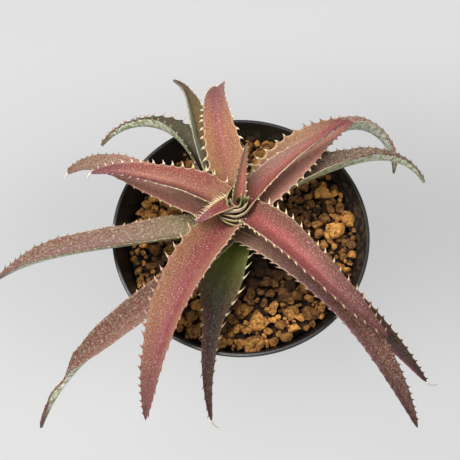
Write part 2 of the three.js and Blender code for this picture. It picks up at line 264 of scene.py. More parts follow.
LEAVES = [
    leaf(1, 89.6, 6, (3, 3.2, 2.6, 1.6, 0.6), (60, 60, 62, 64), (84, 80, 74, 70), (0, 0, 0, 0), 40,
         colours=("dark green", "moss", "dark green", "moss", "sheath", "sprout"),
         left=(1.2, 0.8, 0.2, 0.2, 30), right=(1.2, 0.8, 0.2, 0.2, 30), specks=0.1, cream_to=0.5),
    leaf(2, 90, 22.8, (5, 5.2, 3.8, 2.2, 0.8), (88, 82, 80, 78), (70, 60, 52, 48), (0, 0, 0, 0), 35,
         colours=("rosy", "stone", "rosy", "dusty pink", "stone", "lichen"),
         left=(2.2, 1.6, 0.4, 0.4, 20), right=(2.6, 2.2, 1.3, 0.7, 35), cream_to=0.6, specks=0.7,
         sheath_to=0.2, tip_start=0.5),
    leaf(3, 91, 19, (5, 6, 5, 3, 0.8), (210, 220, 224, 216), (42, 32, 22, 2), (15, 15, 10, 0), 26,
         colours=("wine", "crimson", "crimson", "rose", "mauve", "leaf green"),
         left=(1.6, 1.2, 0.2, 0.2, 20), right=(1.0, 0.9, 2.2, 1.2, 35), deep=0.15, cream_to=1.0,
         specks=0.7, spines=("cream", "blush"), sheath_to=0.1),
    leaf(4, 87.5, 46.5, (8, 9.5, 8, 4.5, 0.8), (42, 37, 37, 50), (38, 28, 8, -18), (-4, -20, -32, -48), 29,
         colours=("rose", "greyrose", "rose", "crimson", "crimson", "crimson"),
         left=(3.4, 3.0, 1.2, 0.6, 0), right=(3.0, 3.4, 1.6, 0.2, 10), cream_to=0.9, specks=0.5),
    leaf(5, 83.5, 52.5, (3, 5, 9.5, 12.8, 12.5, 10.6, 8.2, 7, 6), (117, 108, 100, 86),
         (60, 42, 0, -45), (-44, -8, -12, -14), 32,
         colours=("apricot", "amber", "coral", "tan", "mauve", "leaf green"),
         left=(3.9, 1.3, 3.4, 0.9, 0), right=(3.7, 2.8, 2.8, 0.7, 0), deep=0.58, hook=0.6,
         spines=("cream", "pale"), cream_to=0.75, thread=(2.6, -110, 60), tip_start=0.5, skew=0.75,
         bare=0.34, sheath_to=0.6),
    leaf(6, 87.3, 67.5, (9, 13.5, 11, 7.5, 1), (-41, -46, -42, -24), (30, 14, -10, -41),
         (6, -6, -7, -6), 36,
         colours=("salmon", "brick", "ruby", "crimson", "plum rose", "leaf green"),
         left=(3.8, 3.2, 2.1, 1.0, -12), right=(1.8, 4.4, 2.0, 1.0, 30), deep=0.36, hook=0.5,
         spines=("cream", "blush"), cream_to=0.5, tip_start=0.42, specks=0.85),
    leaf(7, 88.4, 55, (8, 11.8, 8.8, 5, 0.8), (170, 171, 166, 172), (38, 18, -12, -38),
         (-20, 4, -6, -8), 39,
         colours=("apricot", "deep wine", "salmon", "coral", "mauve", "leaf green"),
         left=(3.2, 3.4, 1.0, 0.2, 10), right=(3.6, 3.2, 2.6, 1.1, 8), deep=0.5, hook=0.4,
         spines=("cream", "pale"), cream_to=0.7, thread=(3.5, 60, 20), sheath_to=0.3),
    leaf(8, 85.5, 82.5, (9.5, 15.5, 14.5, 8.4, 0.5), (240, 245, 254, 259), (30, 11, -20, -61),
         (0, 16, 24, 12), 36,
         colours=("golden", "salmon", "crimson", "copper", "heather", "leaf green"),
         left=(2.8, 3.6, 1.8, 1.0, 30), right=(4.6, 2.3, 3.2, 0.6, -10), deep=0.5, hook=0.45,
         spines=("blush", "rose"), cream_to=0.5),
    leaf(9, 83.5, 55, (9, 14.5, 14, 8.5, 1), (42, 44, 42, 36), (28, 18, -4, -34), (10, 12, 6, 2), 29,
         colours=("faded rose", "apricot", "faded rose", "faded rose", "crimson", "crimson"),
         left=(3.4, 3.6, 3.0, 1.2, 0), right=(3.1, 3.0, 2.6, 0.8, 0), deep=0.66, spines=("cream", "stone"),
         cream_to=0.7, sheath_to=0.4, scurf=0.4),
    leaf(10, 80, 70, (8, 12, 12.5, 8, 2), (182, 159, 156, 186), (30, 8, -15, -47), (-4, 5, 8, -4), 30,
         colours=("salmon", "rosy", "faded rose", "rosy", "stone", "lichen"),
         left=(3.2, 3.2, 1.6, 0.5, 0), right=(3.0, 2.4, 1.2, 0.8, 15), spines=("cream", "olive"),
         scurf=0.65, cream_to=0.5, thread=(4, 60, 20), tip_start=0.4, sheath=(3, 0.2), sheath_to=0.3),
    leaf(11, 79.5, 98, (9, 11.5, 10, 7, 0.8), (-47, -42, -50, -52), (24, 4, -25, -49),
         (18, 4, 0, 10), 36,
         colours=("ash rose", "rust red", "rust red", "mauve", "maroon", "leaf green"),
         left=(3.6, 3.0, 1.6, 0.8, 5), right=(2.4, 4.0, 2.2, 0.3, -15), spines=("blush", "umber"),
         scurf=0.55, specks=0.7, cream_to=0.45, tip_start=0.5, sheath=(6, 0.26), sheath_to=0.42),
    leaf(12, 79.5, 79, (8, 10.5, 10.5, 6, 0.8), (32, 25, 17, -30), (30, 8, -17, -51),
         (-10, -26, -40, -46), 41,
         colours=("rust", "stone", "bark", "brown", "grey green", "sprout"),
         left=(3.3, 2.8, 1.6, 0.9, 0), right=(3.0, 3.0, 2.4, 0.2, 0), deep=0.5, spines=("cream", "brown"),
         scurf=1.0, cream_to=0.6, tip_start=0.72, sheath=(3, 0.2), sheath_to=0.66),
    leaf(13, 78, 70, (8, 11, 9.5, 6, 0.8), (130, 113, 105, 127), (30, 7, -17, -31), (15, 24, 34, 34), 34,
         colours=("umber", "lichen", "dull gold", "dull gold", "umber", "grey green"),
         left=(3.0, 2.6, 1.0, 0.3, 0), right=(3.6, 3.0, 1.8, 0.4, 0), scurf=0.15, specks=0.15, cream_to=0.4,
         sheath=(3, 0.2), sheath_to=0.75),
    leaf(14, 77, 87, (8, 10.5, 9.5, 6.5, 0.8), (-36, -39, -39, -35), (22, 4, -19, -42), (0, 0, 6, 18), 45,
         colours=("umber", "umber", "plum", "mauve", "maroon", "mauve"),
         left=(3.4, 3.0, 1.4, 1.2, 0), right=(3.4, 3.4, 1.4, 0.2, 0), spines=("tan", "umber"), scurf=0.15,
         specks=0.2, cream_to=0.2, thread=(7.5, 15, -12), tip_start=0.85, sheath=(3, 0.2)),
    leaf(15, 76, 92, (8, 12.5, 11.5, 10, 1), (203, 192, 188, 197), (18, 0, -18, -37),
         (14, 20, 26, 34), 38,
         colours=("khaki", "stone", "heather", "clay", "heather", "sprout"),
         left=(3.4, 3.4, 0.8, 0.2, 0), right=(4.2, 2.9, 0.25, 1.5, -12), spines=("cream", "olive"),
         scurf=1.0, specks=0.5, cream_to=0.1, sheath=(3, 0.2), sheath_to=0.52, tip_start=0.65),
    leaf(16, 75.5, 89.5, (8, 9, 9, 8.4, 1), (43, 46, 22, -82), (27, 11, -33, -51),
         (-10, -26, -38, -40), 38,
         colours=("olive", "ash rose", "lichen", "lichen", "brown", "grey green"),
         left=(3.2, 2.8, 1.4, 0.9, 0), right=(3.2, 2.8, 1.2, 0.4, 0), scurf=1.0, sheath=(3, 0.2),
         tip_start=0.85),
    leaf(17, 74.5, 78.5, (8, 11.5, 11, 5, 0.8), (134, 124, 160, 205), (28, 11, -26, -50),
         (10, 30, 48, 48), 39,
         colours=("black plum", "dark olive", "soot", "dark olive", "stone", "sprout"),
         left=(3.4, 2.8, 2.4, 1.2, 0), right=(3.6, 3.0, 3.2, 1.9, 0), deep=0.6, spines=("pale", "ash rose"),
         scurf=0.1, specks=0.15, tip_start=0.6, sheath=(3, 0.2), sheath_to=0.4),
    leaf(18, 75, 103, (8, 11.5, 12.5, 7, 0.8), (240, 224, 218, 246), (17, 0, -27, -42),
         (4, 6, 8, 10, 20, 76, 28), 42,
         colours=("brown", "dusty pink", "russet", "russet", "maroon", "leaf green"),
         left=(3.2, 3.6, 1.2, 0.2, 0), right=(3.4, 3.4, 0.9, 0.5, -10), deep=0.3, spines=("cream", "brown"),
         scurf=0.9, specks=0.5, cream_to=0.3, tip_start=0.62, sheath=(3, 0.2), pinch=(0.8, 0.62)),
    leaf(19, 72, 72, (10, 15, 16.8, 16, 8.6, 6, 4, 2.4, 0.8), (256, 260, 267, 284), (18, 5, -23, -54),
         (0, 0, 0, 0), 36,
         colours=("fern", "umber", "black plum", "maroon", "maroon", "stone"),
         left=(3.8, 4.4, 3.4, 0.3, -10), right=(4.4, 3.4, 1.4, 0.8, 5), deep=0.2, hook=0.8,
         spines=("cream", "umber"), scurf=0.25, specks=0.3, cream_to=0.02, sheath_to=0.5,
         thread=(6, 14, -8), sheath=(2, 0.2)),
]

# The heart: tiny pale leaves round the newest one, as (base, tip, width) with points (x, y, height)
LEAFLETS = [
    ((-3.6, -1.4, 92.6), (-4.7, -0.4, 96.6), 1.7),
    ((-2.6, -1.6, 92.6), (-3.5, -0.4, 96.8), 1.3),
    ((0.1, -1.2, 92.6), (0.9, 1.4, 96.9), 1.6),
    ((1.0, -0.8, 92.0), (2.1, 1.4, 96.0), 1.4),
]
# Rims of the leaf sheaths that wrap round the heart, from left to right: width of the rim, shade from pink
# (0) to green (1) and the points (x, y, height) of its edge
SHEATHS = [
    (0.4, 1.0, [(-2.7, 5.2, 96.0), (-4.1, 3.1, 96.0), (-4.9, 0.8, 95.8), (-4.7, -1.3, 95.4),
                (-3.6, -2.9, 95)]),
    (0.3, 0.8, [(-3.5, -0.3, 97.3), (-3.0, -1.4, 96.2), (-2.0, -2.2, 95.8), (-0.9, -2.1, 95.8),
                (-0.4, -1.1, 96.3), (-0.3, -0.2, 97.4)]),
    (0.9, 0.0, [(-6.6, -4.4, 95.4), (-4.8, -3.8, 95.4), (-2.9, -3.3, 95.4), (-1.0, -3.0, 95.4),
                (0.6, -2.1, 95.4), (1.8, -0.4, 95.6)]),
    (0.6, 0.3, [(-6.0, -4.9, 94.9), (-3.9, -5.0, 94.9), (-1.9, -5.2, 94.9), (-0.2, -4.5, 94.9),
                (1.4, -3.4, 94.9), (3.1, -1.1, 95.1), (5.5, 2.1, 95.4)]),
    (0.45, 0.9, [(-7.4, -4.9, 94.3), (-5.5, -5.8, 94.3), (-3.4, -6.3, 94.3), (-1.3, -6.5, 94.3),
                 (1.2, -5.6, 94.3)]),
    (0.35, 0.7, [(-7.0, -5.6, 93.9), (-5.1, -6.8, 93.9), (-3.2, -7.6, 93.9), (-1.1, -8.1, 93.9),
                 (1.2, -8.6, 93.7)]),
]
YOUNG_LEAVES = 9  # the first ones, with the heart


# Working in the scene


def start_afresh():
    """Leaves edit mode and deselects everything, because operators act on all that is selected."""
    if bpy.context.object and bpy.context.object.mode != "OBJECT":
        bpy.ops.object.mode_set(mode="OBJECT")
    bpy.ops.object.select_all(action="DESELECT")


def select_only(*pieces):
    start_afresh()
    for piece in pieces:
        piece.select_set(True)
    bpy.context.view_layer.objects.active = pieces[0]


def apply_modifiers(piece):
    select_only(piece)
    for modifier in list(piece.modifiers):
        bpy.ops.object.modifier_apply(modifier=modifier.name)


def smooth(piece, angle):
    """Smooths all but the edges that are sharper than the angle, in degrees."""
    select_only(piece)
    bpy.ops.object.shade_smooth_by_angle(angle=math.radians(angle))


def settle(piece, name, nodes, materials):
    """Puts the piece's place into its mesh, gives it its name, body and materials, and hides the CAD nodes
    it replaces.
    """
    select_only(piece)
    bpy.ops.object.transform_apply(location=True, rotation=True, scale=True)
    piece.name = name
    piece.data.name = name
    for material in materials:
        piece.data.materials.append(material)
    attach(piece, BODY)
    if nodes:
        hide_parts(*nodes)
    return piece


def turn_outline(outline, sides, name):
    """A closed body of revolution: a disc that is drawn up and in or out along (radius, height) in mm."""
    radius, height = outline[0]
    start_afresh()
    bpy.ops.mesh.primitive_circle_add(
        vertices=sides, radius=radius * MM, fill_type="NGON", location=(0, 0, height * MM)
    )
    piece = bpy.context.object
    piece.name = name
    bpy.ops.object.mode_set(mode="EDIT")
    bpy.ops.mesh.select_all(action="SELECT")
    for next_radius, next_height in outline[1:]:
        bpy.ops.mesh.extrude_region_move(
            TRANSFORM_OT_translate={"value": (0, 0, (next_height - height) * MM)}
        )
        scale = next_radius / radius
        bpy.ops.transform.resize(value=(scale, scale, 1), center_override=(0, 0, next_height * MM))
        radius, height = next_radius, next_height
    bpy.ops.mesh.select_all(action="SELECT")
    bpy.ops.mesh.normals_make_consistent(inside=False)
    bpy.ops.object.mode_set(mode="OBJECT")
    return piece


# Shader nodes


class Tree:
    """Adds nodes to one node tree and links them."""

    def __init__(self, tree):
        self.tree = tree

    def feed(self, socket, value):
        if isinstance(value, bpy.types.NodeSocket):
            self.tree.links.new(value, socket)
        else:
            socket.default_value = value

    def add(self, kind, inputs=None, **settings):
        """A node with its settings made and its inputs fed. Returns its outputs."""
        node = self.tree.nodes.new(kind)
        for key, value in settings.items():
            setattr(node, key, value)
        for key, value in (inputs or {}).items():
            self.feed(node.inputs[key], value)
        return node.outputs

    def math(self, operation, *values, clamp=False):
        return self.add("ShaderNodeMath", dict(enumerate(values)), operation=operation, use_clamp=clamp)[0]

    def times(self, a, b, clamp=False):
        return self.math("MULTIPLY", a, b, clamp=clamp)

    def plus(self, a, b, clamp=False):
        return self.math("ADD", a, b, clamp=clamp)

    def minus(self, a, b):
        return self.math("SUBTRACT", a, b)

    def parts(self, vector):
        """The X, Y and Z of a vector."""
        return self.add("ShaderNodeSeparateXYZ", {"Vector": vector})

    def distance(self, a, b):
        return self.add("ShaderNodeVectorMath", {0: a, 1: b}, operation="DISTANCE")["Value"]

    def ramp(self, value, low, high, to_low=0.0, to_high=1.0):
        """value read off a smooth step between low and high."""
        inputs = {"Value": value, "From Min": low, "From Max": high, "To Min": to_low, "To Max": to_high}
        return self.add("ShaderNodeMapRange", inputs, interpolation_type="SMOOTHSTEP")["Result"]

    def mix(self, factor, a, b, blend="MIX"):
        return self.add("ShaderNodeMix", {0: factor, 6: a, 7: b}, data_type="RGBA", blend_type=blend)[2]

    def paint(self, skin, over, mask, strength):
        """skin with another colour laid over it where the mask is."""
        return self.mix(self.times(mask, strength), skin, over)

    def stretched(self, vector, scale):
        return self.add("ShaderNodeMapping", {"Vector": vector, "Scale": scale})["Vector"]

    def noise(self, vector, scale, detail=3.0, roughness=0.55):
        """Noise at one scale, or at three where it is drawn out along an axis."""
        if isinstance(scale, tuple):
            vector, scale = self.stretched(vector, scale), 1.0
        inputs = {"Vector": vector, "Scale": scale, "Detail": detail, "Roughness": roughness}
        return self.add("ShaderNodeTexNoise", inputs)["Fac"]

    def group(self, node_tree, inputs):
        return self.add("ShaderNodeGroup", inputs, node_tree=node_tree)

    def attribute(self, name, output="Vector"):
        return self.add("ShaderNodeAttribute", attribute_name=name)[output]

    def object_place(self):
        return self.add("ShaderNodeTexCoord")["Object"]


def new_group(name, inputs, outputs):
    """A shader node group. inputs are (name, kind, default) and outputs (name, kind)."""
    group = bpy.data.node_groups.new(name, "ShaderNodeTree")
    kinds = {"float": "NodeSocketFloat", "colour": "NodeSocketColor", "vector": "NodeSocketVector"}
    for label, kind, default in inputs:
        socket = group.interface.new_socket(label, in_out="INPUT", socket_type=kinds[kind])
        if default is not None:
            socket.default_value = default
    for label, kind in outputs:
        group.interface.new_socket(label, in_out="OUTPUT", socket_type=kinds[kind])
    start = group.nodes.new("NodeGroupInput").outputs
    end = group.nodes.new("NodeGroupOutput").inputs
    return group, Tree(group), start, end


def colour(name):
    return (*PALETTE[name], 1.0)


def specks_group():
    """Small round dots of uneven size, as of trichomes, in millimetres of the leaf's own surface."""
    group, tree, start, end = new_group(
        "Specks",
        [("Place", "vector", None), ("Spacing", "float", 1.0), ("Size", "float", 0.3)],
        [("Mask", "float")],
    )
    cells = tree.add(
        "ShaderNodeTexVoronoi",
        {"Vector": start["Place"], "Scale": tree.math("DIVIDE", 1.0, start["Spacing"]), "Randomness": 0.9},
        voronoi_dimensions="2D",
    )
    chance = tree.add("ShaderNodeSeparateColor", {"Color": cells["Color"]})[0]
    radius = tree.times(start["Size"], tree.ramp(chance, 0.0, 1.0, 0.45, 1.15))
    tree.feed(end["Mask"], tree.ramp(cells["Distance"], radius, tree.times(radius, 0.45)))
    return group


def blotches_group():
    """Uneven patches, as of scurf or stains."""
    group, tree, start, end = new_group(
        "Blotches",
        [("Place", "vector", None), ("Scale", "float", 1.0), ("Threshold", "float", 0.5),
         ("Softness", "float", 0.1)],
        [("Mask", "float")],
    )
    field = tree.noise(start["Place"], start["Scale"], 5.0, 0.65)
    low = tree.minus(start["Threshold"], start["Softness"])
    high = tree.plus(start["Threshold"], start["Softness"])
    tree.feed(end["Mask"], tree.ramp(field, low, high))
    return group


# The skin's colours, in the order of a leaf's own, and its amounts, with the looks that they are taken from
SKIN_COLOURS = ("Sheath", "Left", "Middle", "Right", "Tip")
SKIN_AMOUNTS = {
    "Specks": "specks",
    "Scurf": "scurf",
    "Cream reach": "cream_to",
    "Sheath reach": "sheath_to",
    "Tip start": "tip_start",
}


def leaf_skin_group(specks):
    """The colour, roughness and relief of a leaf's upper face. Share is (across, along, distance to the
    margin in mm). Place is (across, along, the leaf's own number) in mm."""
    group, tree, start, end = new_group(
        "Leaf skin",
        [("Share", "vector", None), ("Place", "vector", None)]
        + [(label, "colour", None) for label in (*SKIN_COLOURS, "Edge")]
        + [(label, "float", 0.5) for label in SKIN_AMOUNTS],
        [("Colour", "colour"), ("Roughness", "float"), ("Height", "float")],
    )
    share = tree.parts(start["Share"])
    place, scurf = start["Place"], start["Scurf"]
    slow = tree.noise(place, (0.35, 0.10, 1.0), 4.0, 0.6)
    streaks = tree.noise(place, (2.4, 0.25, 1.0), 4.0, 0.65)
    grit = tree.noise(place, (2.6, 1.5, 1.0), 3.0, 0.7)
    wander = tree.math("MULTIPLY_ADD", slow, 0.7, -0.35)

    # From the middle to the margins, and from the sheath to the tip
    across = tree.plus(share["X"], wander)
    length = tree.plus(share["Y"], tree.times(wander, 0.25))
    margin = tree.mix(tree.ramp(across, -0.2, 0.2), start["Right"], start["Left"])
    skin = tree.mix(tree.ramp(tree.math("ABSOLUTE", across), 0.08, 0.78), start["Middle"], margin)
    to_tip = tree.ramp(length, start["Tip start"], tree.plus(start["Tip start"], 0.4))
    skin = tree.paint(skin, start["Tip"], to_tip, 0.85)
    skin = tree.mix(tree.ramp(length, start["Sheath reach"], 0.02), skin, start["Sheath"])

    # Streaks and grit deepen and lighten it
    streaked = tree.mix(tree.ramp(streaks, 0.28, 0.72), (0.64, 0.56, 0.56, 1), (1.28, 1.38, 1.38, 1))
    skin = tree.mix(0.5, skin, streaked, "MULTIPLY")
    gritty = tree.mix(tree.ramp(grit, 0.3, 0.7), (0.56, 0.44, 0.46, 1), (1.38, 1.58, 1.52, 1))
    skin = tree.mix(0.6, skin, gritty, "MULTIPLY")

    # Scurf: stains and pale patches, then dark and cream flecks
    stains = tree.ramp(tree.noise(place, (0.5, 0.3, 1.0), 3.0, 0.6), 0.4, 0.62)
    pale = tree.ramp(tree.noise(place, (0.9, 0.4, 1.0), 3.0, 0.6), 0.5, 0.66)
    flecks = tree.noise(place, (1.6, 1.0, 1.0), 5.0, 0.72)
    dark = tree.times(tree.ramp(flecks, 0.48, 0.38), scurf)
    net = tree.times(tree.ramp(flecks, 0.51, 0.60), scurf)
    net = tree.times(net, tree.ramp(share["Y"], 1.0, 0.75, 0.15, 1.0))
    skin = tree.paint(skin, colour("stain"), stains, tree.times(scurf, 0.4))
    skin = tree.paint(skin, colour("pale scurf"), pale, tree.times(scurf, 0.35))
    skin = tree.paint(skin, tree.mix(0.78, skin, colour("dark scurf")), dark, 0.8)
    skin = tree.paint(skin, tree.mix(0.62, skin, colour("cream scurf")), net, 0.85)

    # Specks, longer than wide, in crowds and sparse near the tip
    drawn = tree.stretched(place, (1.0, 0.7, 1.0))
    fine = tree.group(specks, {"Place": drawn, "Spacing": 0.54, "Size": 0.29})["Mask"]
    coarse = tree.group(specks, {"Place": drawn, "Spacing": 1.15, "Size": 0.15})["Mask"]
    crowd = tree.ramp(tree.noise(place, (0.6, 0.25, 1.0), 2.0), 0.36, 0.60, 0.3, 1.0)
    crowd = tree.times(crowd, tree.ramp(share["Y"], 1.0, 0.75, 0.4, 1.0))
    dots = tree.times(tree.math("MAXIMUM", tree.times(fine, 0.7), coarse), crowd)
    dots = tree.times(dots, start["Specks"])
    skin = tree.mix(dots, skin, tree.mix(0.72, skin, colour("scale")))
    # Painted shade between the raised scales
    between = tree.times(tree.minus(1.0, fine), start["Specks"])
    skin = tree.paint(skin, colour("painted shade between scales"), between, 0.22)

    # The pale line along the margin
    near = tree.ramp(tree.plus(share["Z"], tree.times(wander, 0.3)), 0.30, 0.08)
    reach = tree.ramp(share["Y"], start["Cream reach"], tree.times(start["Cream reach"], 0.5))
    tree.feed(end["Colour"], tree.paint(skin, start["Edge"], tree.times(near, reach), 0.5))
    rough = tree.plus(tree.ramp(streaks, 0.3, 0.7, 0.46, 0.60), tree.times(dots, 0.3))
    tree.feed(end["Roughness"], tree.plus(rough, tree.times(net, 0.2), clamp=True))
    relief = tree.plus(tree.times(dots, 0.6), tree.times(streaks, 0.9))
    tree.feed(end["Height"], tree.plus(relief, tree.times(net, 0.5)))
    return group


def new_material(name, **sockets):
    """A material with a Principled BSDF whose named sockets are set. Returns it with its tree and shader."""
    material = bpy.data.materials.new(name)
    material.use_nodes = True
    shader = material.node_tree.nodes["Principled BSDF"]
    for key, value in sockets.items():
        shader.inputs[key.replace("_", " ")].default_value = value
    return material, Tree(material.node_tree), shader


def dress(tree, shader, skin, rough, relief=None, depth=None):
    """Feeds the shader its colour and roughness, and its normal from a relief of that depth."""
    tree.feed(shader.inputs["Base Color"], skin)
    tree.feed(shader.inputs["Roughness"], rough)
    if relief is not None:
        normal = tree.add("ShaderNodeBump", {"Height": relief, "Distance": depth, "Strength": 1.0})["Normal"]
        tree.feed(shader.inputs["Normal"], normal)


def leaf_material(looks, skin_group):
    material, tree, shader = new_material(f"{looks['node']} skin", Specular_IOR_Level=0.32)
    inputs = {"Share": tree.attribute("share"), "Place": tree.attribute("place"), "Edge": colour("cream")}
    inputs.update({label: colour(name) for label, name in zip(SKIN_COLOURS, looks["colours"])})
    inputs.update({label: looks[key] for label, key in SKIN_AMOUNTS.items()})
    skin = tree.group(skin_group, inputs)
    dress(tree, shader, skin["Colour"], skin["Roughness"], skin["Height"], 0.00016)
    return material


def underside_material(looks, specks, blotches):
    """Green and paler than the upper face, mottled with whitish scurf and dotted with brown."""
    material, tree, shader = new_material(f"{looks['node']} underside", Specular_IOR_Level=0.35)
    tip, under = (colour(name) for name in looks["colours"][4:])
    place = tree.attribute("place")
    share = tree.parts(tree.attribute("share"))
    lines = tree.noise(place, (2.4, 0.16, 1.0), 4.0, 0.6)
    scurf = tree.group(blotches, {"Place": place, "Scale": 0.6, "Threshold": 0.5, "Softness": 0.035})["Mask"]
    fine = tree.group(specks, {"Place": place, "Spacing": 0.8, "Size": 0.3})["Mask"]
    brown = tree.group(specks, {"Place": place, "Spacing": 1.7, "Size": 0.18})["Mask"]
    skin = tree.mix(tree.ramp(lines, 0.35, 0.65, 0.0, 0.5), under, colour("pale green"))
    keel = tree.ramp(tree.math("ABSOLUTE", share["X"]), 0.5, 0.0)
    skin = tree.paint(skin, under, keel, 0.35)
    white = tree.plus(scurf, tree.times(fine, 0.6))
    white = tree.times(white, tree.ramp(share["Y"], 0.2, 0.65, 0.2, 0.95), clamp=True)
    skin = tree.mix(white, skin, colour("white scurf"))
    skin = tree.paint(skin, colour("brown dot"), brown, 0.7)
    skin = tree.mix(tree.ramp(share["Y"], 0.87, 0.97, 0.0, 0.85), skin, tip)
    dress(tree, shader, skin, tree.ramp(white, 0.0, 1.0, 0.45, 0.7), lines, 0.00015)
    return material


def spine_material(root, end):
    """Horny spines: one shade at the leaf's base and another towards its tip, browner at their points."""
    material, tree, shader = new_material(f"{root} to {end} spines", Specular_IOR_Level=0.4)
    share = tree.parts(tree.attribute("share"))
    grain = tree.noise(tree.attribute("place"), 2.0, 2.0)
    along_leaf = tree.plus(share["Y"], tree.math("MULTIPLY_ADD", grain, 0.3, -0.15))
    skin = tree.mix(tree.ramp(along_leaf, 0.35, 0.8), colour(root), colour(end))
    skin = tree.mix(tree.ramp(share["Z"], 0.45, 1.0, 0.0, 0.3), skin, colour("brown"))
    dress(tree, shader, skin, tree.ramp(grain, 0.3, 0.7, 0.35, 0.5))
    return material


def sheath_material():
    """The sheaths round the heart: a cream rim, streaked pink or green below it, with painted shade at the
    foot and on the inner face.
    """
    material, tree, shader = new_material("leaf sheaths", Specular_IOR_Level=0.35)
    share = tree.parts(tree.attribute("share"))
    lines = tree.ramp(tree.noise(tree.attribute("place"), (2.6, 0.35, 1.0), 4.0), 0.36, 0.6)
    pink = tree.mix(lines, colour("brown streak"), colour("pink streak"))
    green = tree.mix(lines, colour("dark streak"), colour("green streak"))
    skin = tree.mix(share["X"], pink, green)
    skin = tree.mix(tree.ramp(tree.math("ABSOLUTE", share["Z"]), 0.2, 0.05), skin, colour("sheath rim"))
    # Painted shade on the lower wall and on the inner face
    skin = tree.mix(tree.ramp(share["Z"], 0.4, 0.75), skin, colour("painted shade at the sheath foot"))
    skin = tree.mix(tree.ramp(share["Z"], -0.2, -0.5), skin, colour("painted shade inside the sheath"))
    dress(tree, shader, skin, tree.ramp(lines, 0.0, 1.0, 0.45, 0.6))
    return material


# Leaves


def along(values, share):
    """Evenly spaced values, read off anywhere between them along a smooth curve."""
    last = len(values) - 1
    place = min(share, 0.999999) * last
    i = int(place)
    u = place - i
    b, c = values[i], values[i + 1]
    a = values[i - 1] if i > 0 else 2 * b - c
    d = values[i + 2] if i + 2 <= last else 2 * c - b
    return 0.5 * (
        2 * b + (c - a) * u + (2 * a - 5 * b + 4 * c - d) * u * u + (3 * b - a - 3 * c + d) * u**3
    )


def lerp(a, b, share):
    return a + (b - a) * share


def directions(heading, pitch, roll):
    """Forward, across (to the left) and out of the upper face, from angles in degrees."""
    h, p, r = (math.radians(x) for x in (heading, pitch, roll))
    forward = Vector((math.cos(p) * math.cos(h), math.cos(p) * math.sin(h), math.sin(p)))
    level = Vector((-math.sin(h), math.cos(h), 0))
    above = forward.cross(level)
    return forward, level * math.cos(r) + above * math.sin(r), above * math.cos(r) - level * math.sin(r)


def blade_line(looks, steps, root):
    """The middle line of a blade: (point, forward, across, out) at each step."""
    point = Vector((*root, looks["base"]))
    line = []
    for i in range(steps + 1):
        angles = (along(looks[key], i / steps) for key in ("headings", "pitches", "rolls"))
        forward, across, out = directions(*angles)
        if i:
            point = point + forward * (looks["length"] / steps)
        line.append((point, forward, across, out))
    return line


def spine_places(margin, leaf_length, bare, draw):
    """Shares of the length at which one margin's spines stand, from the share bare on."""
    first, last = margin[:2]
    share = bare + 0.03 * draw.random()
    places = []
    while share < LAST_SPINE:
        places.append(share)
        step = lerp(first, last, share**0.8) * draw.uniform(*SPACING_SPREAD)
        share += step / leaf_length
    return places


def margins_of(looks):
    """The spines of the two margins, by side: 1 is the left one and -1 the right one."""
    return {1: looks["left"], -1: looks["right"]}


def spine_length(margin, share):
    return lerp(margin[2], margin[3], share)


def half_width(looks, share, side, seed):
    """Half the blade's width on one side, from its middle line to the foot of the scallops."""
    half = along(looks["widths"], share) / 2
    half *= 1 + 0.05 * noise.noise((share * looks["length"] / 9, seed * 3.1, 0))
    half *= math.sqrt(max(0.02, 1 - max(0.0, (share - TIP_FROM) / (1 - TIP_FROM)) ** 2))
    widening, widening_to = looks["sheath"]
    half += widening * max(0.0, 1 - share / widening_to) ** 1.5
    pinched_at, pinch = looks["pinch"]
    half *= 1 - pinch * math.exp(-(((share - pinched_at) / PINCH_REACH) ** 2))
    if side > 0:
        half *= 1 - looks["skew"] * max(0.0, (share - SKEW_FROM) / (1 - SKEW_FROM)) ** 1.3
    return half


def margin_wave(looks, share, side, seed):
    """How far the margin rises or dips."""
    return WAVE_HEIGHT * noise.noise((share * looks["length"] / WAVE_LENGTH, side * 5.0, seed))


def scallop(share, places, sharpness):
    """How far the margin rises towards a spine at share: 1 at a spine and 0 halfway between two."""
    if share < places[0]:
        return max(0.0, 1 - (places[0] - share) / 0.02) ** 2
    if share >= places[-1]:
        return max(0.0, 1 - (share - places[-1]) / 0.01) ** 2
    i = max(k for k, place in enumerate(places) if place <= share)
    u = (share - places[i]) / (places[i + 1] - places[i])
    return (1 - math.sqrt(1 - (2 * u - 1) ** 2)) ** sharpness


class Body:
    """Collects the points, faces and attributes of one mesh. Lengths are in millimetres."""

    def __init__(self):
        self.points = []
        self.places = []
        self.shares = []
        self.faces = []
        self.kinds = []

    def point(self, at, place, share):
        self.points.append(at * MM)
        self.places.append(place)
        self.shares.append(share)
        return len(self.points) - 1

    def face(self, corners, kind):
        self.faces.append(corners)
        self.kinds.append(kind)

    def ring(self, centre, across, wide, up, thick, place, share):
        """The numbers of six points round centre, as far from it as wide and thick say."""
        angles = [2 * math.pi * k / 6 for k in range(6)]
        spots = [centre + across * (wide * math.cos(a)) + up * (thick * math.sin(a)) for a in angles]
        return [self.point(spot, place, share) for spot in spots]

    def tube(self, rings, tip, kind):
        """Closed skin over rings of point numbers that ends in the point tip."""
        count = len(rings[0])
        for lower, upper in zip(rings, rings[1:]):
            for k in range(count):
                n = (k + 1) % count
                self.face((lower[k], lower[n], upper[n], upper[k]), kind)
        for k in range(count):
            self.face((rings[-1][k], rings[-1][(k + 1) % count], tip), kind)
        self.face(tuple(reversed(rings[0])), kind)

    def make(self, name):
        mesh = bpy.data.meshes.new(name)
        mesh.from_pydata(self.points, [], self.faces)
        mesh.polygons.foreach_set("material_index", self.kinds)
        for label, values in (("place", self.places), ("share", self.shares)):
            layer = mesh.attributes.new(label, "FLOAT_VECTOR", "POINT")
            layer.data.foreach_set("vector", [x for value in values for x in value])
        mesh.shade_smooth()
        piece = bpy.data.objects.new(name, mesh)
        bpy.context.scene.collection.objects.link(piece)
        return piece


